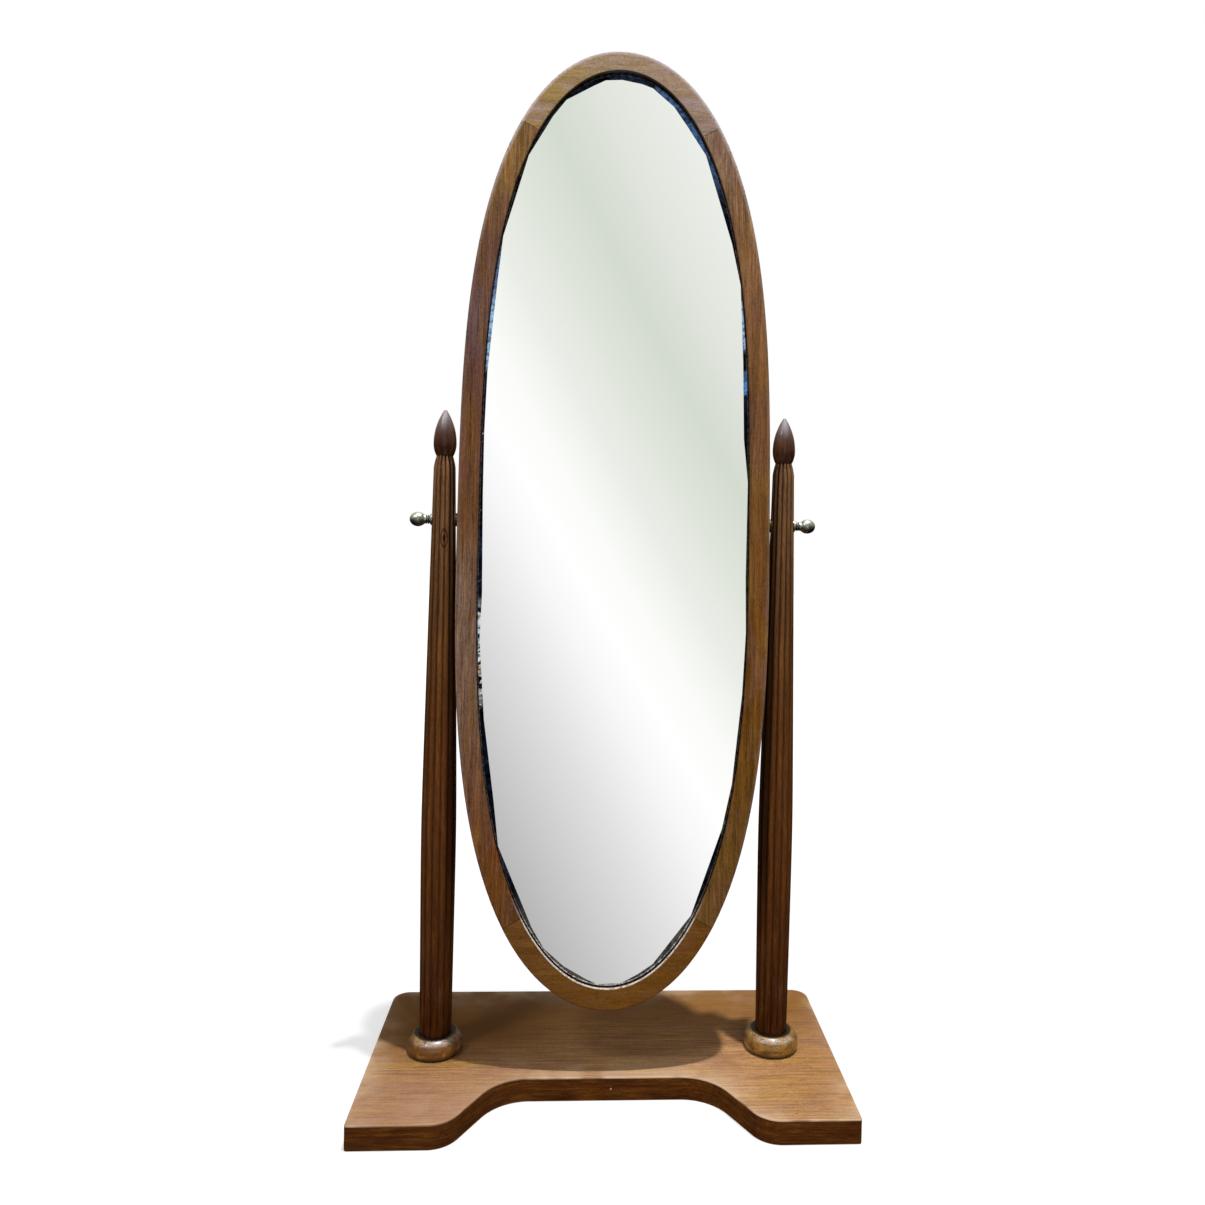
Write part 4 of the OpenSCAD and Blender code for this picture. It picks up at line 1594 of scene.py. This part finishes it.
DULL_BRASS = Metal("dulled_brass", body="7a6136", tarnish="3f3018", tarnish_share=0.9, roughness=0.5)
MIRROR = Silvering("silvered_glass", plate="fafbfa", bevel="dfe6ee")
WASHER = Leather("washer_leather", body="3c281a", crease="1c110a")


@dataclass(frozen=True)
class Joinery:
    """Marks that belong to one piece: glue lines, dents, pits and a knot, and painted light: painted shade on
    edges and undersides, and painted highlights and sheen. Places in metres.
    """

    oval: Oval
    front_dent: Point = (0.0085, -0.077, 0.0175)
    pits: tuple[tuple[Point, float], ...] = (
        ((0.307, -0.059, 0.035), 0.0022), ((0.262, -0.170, 0.035), 0.0018))
    knot_at: Point = (0.0022, -0.0035, 0.2197)
    joint_slope: float = 0.531

    def plank(self, look: Look, where: Signal, colour: Signal) -> Signal:
        """The plank's paler, pinker left front with a painted sheen, deeper back with painted shade at the
        back left, darker edges that also hold painted shade, a painted highlight on the top arris, dents,
        pits and bare underside.

        Args:
            look: the material.
            where: coordinates in the piece's own axes.
            colour: the colour so far.

        Returns:
            The colour with the marks.
        """
        x, y, z = look.split(where)
        up = look.upward()
        # Painted sheen on the paler, pinker left front, and painted shade at the back left.
        pink_sheen = y.between(-0.03, -0.13) * x.between(0.1, -0.2) * 0.35
        back = y.between(0.0, 0.17) * 0.8
        shaded_back_left = y.between(-0.07, 0.06) * x.between(-0.02, -0.18) * 0.85
        colour = look.coated(colour, (pink_sheen, "9f7a68"), (back, "8f5c18"), (shaded_back_left, "70460e"))
        # The edges take a darker sawn colour with blotches, which also holds painted shade.
        blotch = look.noise(look.join(x * 22.0, y * 22.0, z * 240.0), detail=4.0, roughness=0.65)
        sawn_and_shaded = look.coated(look.mix(1.0, colour, "84632c", "MULTIPLY"),
                           (blotch.between(0.50, 0.66) * 0.5, "2a1303"),
                           (blotch.between(0.47, 0.36) * 0.5, "744916"))
        # A painted highlight along the top arris, broken up by noise.
        arris = abs(up).between(1.0, 0.985) * z.between(0.032, 0.0335)
        rubbed = look.noise(where, scale=16.0, detail=2.0).between(0.42, 0.60) * 0.55 + 0.25
        dent = look.distance(where, self.front_dent).between(0.0016, 0.0007) * 0.8
        colour = look.coated(colour, (1.0 - abs(up).between(0.35, 0.85), sawn_and_shaded), (arris * rubbed, "e2c3a4"),
                             (dent, "d9bd99"))
        for at, size in self.pits:
            pit = look.distance(where, at).between(size, size * 0.4) * 0.7
            colour = look.mix(pit, colour, "4a2c14")
        return look.mix(up.between(-0.8, -0.95), colour, "a08361")

    def frame_length(self, look: Look, where: Signal, colour: Signal) -> Signal:
        """Glue lines between the frame's lengths, and painted shade on undersides.

        Args:
            look: the material.
            where: coordinates in the piece's own axes.
            colour: the colour so far.

        Returns:
            The colour with the marks.
        """
        x, _, z = look.split(where)
        # Painted shade: faces that look down are darkened.
        under = look.upward().between(-0.15, -0.5) * 0.85
        joint_x, joint_z = self.oval.x_at(self.oval.joint_z) * MM, self.oval.joint_z * MM
        off_line = (abs(z) - joint_z) + (joint_x - abs(x)) * self.joint_slope
        return look.coated(colour, (under, "0c0705"), (abs(off_line).between(0.0012, 0.0003) * 0.6, "2a170c"))

    def knot(self, look: Look, where: Signal, colour: Signal) -> Signal:
        """A small dark knot in the front of the left post, under its pivot.

        Args:
            look: the material.
            where: coordinates in the piece's own axes.
            colour: the colour so far.

        Returns:
            The colour with the knot.
        """
        x, y, z = look.split(where)
        spot = look.distance(look.join(x * 0.7, y * 0.2, z * 0.27), self.knot_at)
        wave = look.noise(where, scale=260.0, detail=3.0) * 0.0016
        rings = ((spot + wave) * 1900.0).math("SINE").between(-0.2, 0.8)
        front = y.between(0.0, -0.005)
        near = spot.between(0.0052, 0.0034) * front * rings * 0.7
        heart = spot.between(0.0022, 0.0010) * front * 0.8
        return look.coated(colour, (near, "2c1507"), (heart, "1c0d05"))

    def finial_highlight(self, look: Look, where: Signal, colour: Signal) -> Signal:
        """A painted sheen on the finials' upper slopes, and a painted highlight palest up the middle of the
        front near the tip.

        Args:
            look: the material.
            where: coordinates in the piece's own axes.
            colour: the colour so far.

        Returns:
            The colour with the bloom.
        """
        x, y, z = look.split(where)
        patch = look.noise(where, scale=60.0, detail=3.0).between(0.25, 0.60) * 0.5 + 0.5
        # The upward slopes take a painted sheen; the front near the tip takes a painted highlight.
        dust = look.upward().between(0.10, 0.56) * patch * 0.6
        off_middle = abs(abs(x) - Post(Side.RIGHT).post_x * MM)
        middle = off_middle.between(0.0060, 0.0005) * y.between(0.004, -0.002)
        pale = middle * z.between(0.970, 0.998) * 0.32
        return look.coated(colour, (dust, "a89a9e"), (pale, "e2dcdf"))

    def collar_rim(self, look: Look, where: Signal, colour: Signal) -> Signal:
        """Dark pits round the collar's top, painted shade in a ring round the post and in a line at its foot,
        and a painted highlight on its front shoulder.

        Args:
            look: the material.
            where: coordinates in the piece's own axes.
            colour: the colour so far.

        Returns:
            The colour with the marks.
        """
        _, y, z = look.split(where)
        speck = look.noise(where, scale=420.0, detail=3.0, roughness=0.7)
        pits = speck.between(0.54, 0.64) * z.between(0.050, 0.0620)
        # Painted shade in the dark ring round the post.
        ring = z.between(0.0622, 0.0636) * speck.between(0.74, 0.52)
        look.set(Coat_Weight=(1.0 - pits * 0.7) * (1.0 - z.between(0.0616, 0.0632)))
        # A painted highlight on the front of the top, broken up by noise.
        front_highlight = look.upward().between(0.45, 0.72) * z.between(0.0634, 0.0618) * y.between(-0.012, -0.030)
        pale = look.noise(where, scale=90.0, detail=3.0).between(0.30, 0.55)
        # The dark line at the foot is painted shade where the collar meets the plank.
        return look.coated(colour, (front_highlight * pale * 0.55, "d9cdc6"), (pits, "1c0f06"), (ring, "130903"),
                           (z.between(0.044, 0.036), "150b05"))


def dress_node(name: str, material: Material) -> None:
    """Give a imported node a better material.

    Args:
        name: the node.
        material: its material.
    """
    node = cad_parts[name]
    node.data.materials.clear()
    node.data.materials.append(material)


def dress_hardware(oval: Oval) -> None:
    """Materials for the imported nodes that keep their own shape.

    Args:
        oval: the frame's outline, whose axes the wooden ones take.
    """
    zinc, steel, brass = ZINC.dress(), STEEL.dress(), DULL_BRASS.dress()
    bare, ply, leather = BARE.dress(oval.place()), PLY.dress(oval.place()), WASHER.dress()
    looks = {"post_screws": zinc, "post_washers": zinc, "frame_dowels": bare, "glazing_blocks": bare,
             "backing_board": ply, "left_pivot_insert": brass, "right_pivot_insert": brass,
             "left_friction_washer": leather, "right_friction_washer": leather, "left_stud": steel,
             "right_stud": steel}
    for name, material in looks.items():
        dress_node(name, material)
    LOG.info("dressed %d packed nodes", len(looks))


# The studio


@dataclass(frozen=True)
class Viewpoint:
    """The camera, fitted to the picture. Millimetres, degrees and pixels."""

    at: Point = (-43.4, -1517.7, 861.3)
    pitch: float = 1.06
    yaw: float = -3.12
    roll: float = 1.16
    focal: float = 1000.0
    centre: tuple[float, float] = (640.4, 528.6)
    image: float = 1205.0
    sensor: float = 36.0

    def build(self) -> None:
        """Make the camera and use it."""
        data = bpy.data.cameras.new("camera")
        data.sensor_fit = "HORIZONTAL"
        data.sensor_width = self.sensor
        data.lens = self.sensor * self.focal / self.image
        data.shift_x = (self.image / 2 - self.centre[0]) / self.image
        data.shift_y = (self.centre[1] - self.image / 2) / self.image
        turns = (Matrix.Rotation(math.radians(angle), 3, axis)
                 for angle, axis in ((self.roll, "Z"), (self.pitch, "X"), (self.yaw, "Y")))
        about_z, about_x, about_y = turns
        level = Matrix(((1, 0, 0), (0, 0, -1), (0, 1, 0)))
        right, down, ahead = about_z @ about_x @ about_y @ level
        turned = Matrix((right, -down, -ahead)).transposed().to_4x4()
        camera = in_scene("camera", data)
        camera.matrix_world = Matrix.Translation(Vector(self.at) * MM) @ turned
        bpy.context.scene.camera = camera


@dataclass(frozen=True)
class Lamp:
    """A round lamp. Metres and watts."""

    name: str
    at: Point
    aim: Point
    size: float
    power: float
    in_gloss: bool = True

    def build(self) -> None:
        """Make the lamp."""
        data = bpy.data.lights.new(self.name, "AREA")
        data.shape = "DISK"
        data.size = self.size
        data.energy = self.power
        lamp = in_scene(self.name, data)
        lamp.location = self.at
        lamp.rotation_euler = (Vector(self.aim) - Vector(self.at)).to_track_quat("-Z", "Y").to_euler()
        lamp.visible_glossy = self.in_gloss


@dataclass(frozen=True)
class Patch:
    """A soft oval of colour in the room that the bevel shows, placed by its direction's parts."""

    x: float
    z: float
    wide: float
    high: float
    colour: str


LAMPS = (Lamp("overhead_lamp", (1.035, -0.832, 9.759), (0.0, 0.0, 0.035), 0.24, 680.0),
         Lamp("soft_box", (-1.9, -1.6, 3.4), (0.0, 0.0, 0.9), 0.7, 26.0),
         Lamp("front_fill", (0.3, -3.4, 1.3), (0.0, 0.0, 0.8), 1.4, 26.0, in_gloss=False))
PATCHES = (Patch(0.25, 0.62, 0.11, 0.12, "4a6890"), Patch(0.40, 0.36, 0.12, 0.03, "a8c4e4"),
           Patch(0.40, 0.295, 0.12, 0.012, "5b92c8"), Patch(0.38, -0.21, 0.1, 0.014, "3c6a4c"),
           Patch(0.0, -0.48, 0.6, 0.19, "5c554c"))
SHADOWS = ((0.40, "050608"), (0.52, "10151f"), (0.62, "22293a"), (0.72, "3c4a62"))
SMALL_THINGS = ((0.30, "d9a48c"), (0.38, "d8c49a"), (0.46, "f2f0ea"), (0.58, "d4dcd8"), (0.68, "8fb0cf"))
WALL = ((0.0, "b4b4b4"), (0.21, "dfdfdf"), (0.33, "f6f6f6"), (0.40, "fefefe"), (0.47, "fbfbf9"),
        (0.57, "eaece7"), (0.66, "dfe3da"), (0.75, "d3d9ce"), (0.87, "e3e5df"), (1.0, "eef0eb"))
ROUND_ABOUT = ((0.25, "0e0a07"), (0.47, "2c2620"), (0.60, "868880"), (0.80, "a9aba3"), (0.97, "eeefeb"))


@dataclass
class Studio:
    """A white floor, soft daylight and the room that the mirror shows."""

    ambient: float = 0.16
    room_light: float = 1.05
    floor_glow: float = 1.15
    floor_half: float = 9.0
    floor_drop: float = 0.0004

    def floor(self) -> None:
        """A pale floor that keeps the shadows, and is not seen in the mirror."""
        bm = bmesh.new()
        bmesh.ops.create_grid(bm, x_segments=8, y_segments=8, size=self.floor_half)
        mesh = mesh_of("floor", bm)
        floor = in_scene("floor", mesh)
        floor.location.z = -self.floor_drop
        floor.visible_glossy = False
        look = Look("floor_white")
        look.tree.nodes.remove(look.shader)
        seen = look.add("ShaderNodeLightPath", output="Is Camera Ray")
        matt = look.add("ShaderNodeBsdfDiffuse", None, {"Color": look.mix(seen, "e0e0de", "ffffff")})
        glow = look.add("ShaderNodeEmission", None, {"Color": WHITE, "Strength": self.floor_glow})
        x, y, _ = look.split(look.coords(Place()))
        far = ((x * x + y * y) ** 0.5).between(0.7, 1.6)
        both = look.blend(seen * (far * 0.45 + 0.55), matt, glow)
        look.feed(look.tree.nodes["Material Output"].inputs["Surface"], both)
        mesh.materials.append(look.material)

    @staticmethod
    def beside(nodes: Nodes, x: Signal, y: Signal, z: Signal) -> Signal:
        """What the bevel shows beside the wall: dark, with window light and small things.

        Args:
            nodes: the world's nodes.
            x: the direction's part to the right.
            y: its part to the back.
            z: its part upwards.

        Returns:
            The colour.
        """
        cloud = nodes.noise(nodes.join(x * 8.0, y * 8.0, z * 30.0), detail=3.0, roughness=0.6)
        colour = nodes.ramp(cloud, SHADOWS)
        for patch in PATCHES:
            off = ((x - patch.x) / patch.wide) ** 2.0 + ((z - patch.z) / patch.high) ** 2.0
            colour = nodes.mix(off.between(1.3, 0.5) * cloud.between(0.28, 0.44), colour, patch.colour)
        speck = nodes.noise(nodes.join(x * 110.0, y * 110.0, z * 170.0), detail=2.0, roughness=0.6)
        tint = nodes.noise(nodes.join(x * 60.0, y * 60.0, z * 120.0), detail=1.0)
        small = nodes.ramp(tint, SMALL_THINGS)
        left = x.between(-0.22, -0.28)
        few = left * z.between(-0.10, -0.05) * z.between(0.33, 0.27) * speck.between(0.65, 0.70)
        many = left * z.between(-0.050, -0.025) * z.between(0.085, 0.055) * speck.between(0.40, 0.46)
        high = left * z.between(0.305, 0.325) * z.between(0.50, 0.42) * cloud.between(0.25, 0.40)
        return nodes.coated(colour, (high, "61789a"), (high * z.between(0.40, 0.37), "a9cbea"),
                            (few, small), (many, small))

    def room(self) -> None:
        """White for the camera, soft light for the object, and a graded room in gloss and mirror."""
        world = bpy.data.worlds.new("room")
        bpy.context.scene.world = world
        world.use_nodes = True
        nodes = Nodes(world.node_tree)
        for node in list(nodes.tree.nodes):
            nodes.tree.nodes.remove(node)
        x, y, z = nodes.split(nodes.add("ShaderNodeTexCoord", output="Generated"))
        wall = nodes.ramp(z + x * 1.7 + 0.30, WALL)
        on_wall = x.between(-0.165, -0.14) * x.between(0.19, 0.165) * z.between(-0.30, -0.265)
        on_wall = on_wall * z.between(0.60, 0.56)
        ahead = nodes.mix(on_wall, self.beside(nodes, x, y, z), wall)
        facing = y.between(-0.25, -0.40) * abs(x).between(0.62, 0.5) * z.between(-0.75, -0.65)
        facing = facing * z.between(0.88, 0.80)
        shown = nodes.mix(facing, nodes.ramp(z * 0.5 + 0.5, ROUND_ABOUT), ahead)
        kinds = ((WHITE, self.ambient), (shown, self.room_light), (WHITE, 1.0))
        soft, seen, white = (nodes.add("ShaderNodeBackground", None, {"Color": colour, "Strength": strength})
                             for colour, strength in kinds)
        both = nodes.blend(nodes.add("ShaderNodeLightPath", output="Is Glossy Ray"), soft, seen)
        whole = nodes.blend(nodes.add("ShaderNodeLightPath", output="Is Camera Ray"), both, white)
        out = nodes.tree.nodes.new("ShaderNodeOutputWorld")
        nodes.feed(out.inputs["Surface"], whole)

    def build(self) -> None:
        """Make the floor, the room, the lamps and the camera."""
        self.floor()
        self.room()
        for lamp in LAMPS:
            lamp.build()
        Viewpoint().build()
        bpy.context.scene.view_settings.view_transform = "Standard"


def build_stand(marks: Joinery) -> None:
    """Build the plank, posts, collars, finials, bushes and knobs.

    Args:
        marks: the marks of single pieces.
    """
    PlankBase(Post(Side.RIGHT).post_x).build(BASE.dress(Place(), marks.plank))
    nickel = NICKEL.dress()
    collar = COLLAR.dress(Place(), marks.collar_rim)
    finial = FINIAL.dress(Place(), marks.finial_highlight)
    for side in Side:
        post = Post(side)
        origin = (side.value * post.post_x * MM, POST_Y * MM, 0.0)
        post.build(POST.dress(Place(origin), marks.knot if side is Side.LEFT else None))
        Turnings(post).build(collar, finial, nickel)


def build_mirror(oval: Oval, marks: Joinery) -> None:
    """Build the frame's four lengths, the glass and the screws at the back.

    Args:
        oval: the frame's outline.
        marks: the marks of single pieces.
    """
    lengths = OvalFrame(oval)
    side, top = oval.side_points(lengths.side_steps), oval.top_points(lengths.top_steps)
    for word, points, wood in (("top", top, FRAME_TOP), ("bottom", [-p for p in top], FRAME_BOTTOM),
                               ("left", [-p for p in side], FRAME_LEFT), ("right", side, FRAME_RIGHT)):
        role = Role("frame_length_" + word, "mirror", "frame_wood", ("frame_" + word,))
        lengths.length(points, role, wood.dress(oval.place(), marks.frame_length))
    Glass(oval).build(MIRROR.dress(oval.place()))
    BackScrews(oval).build(BRASS.dress())


def main() -> None:
    """Build the whole object and its studio."""
    logging.basicConfig(level=logging.INFO, format="%(message)s")
    oval = Oval()
    marks = Joinery(oval)
    build_stand(marks)
    build_mirror(oval, marks)
    dress_hardware(oval)
    Studio().build()


if __name__ == "__main__":
    main()
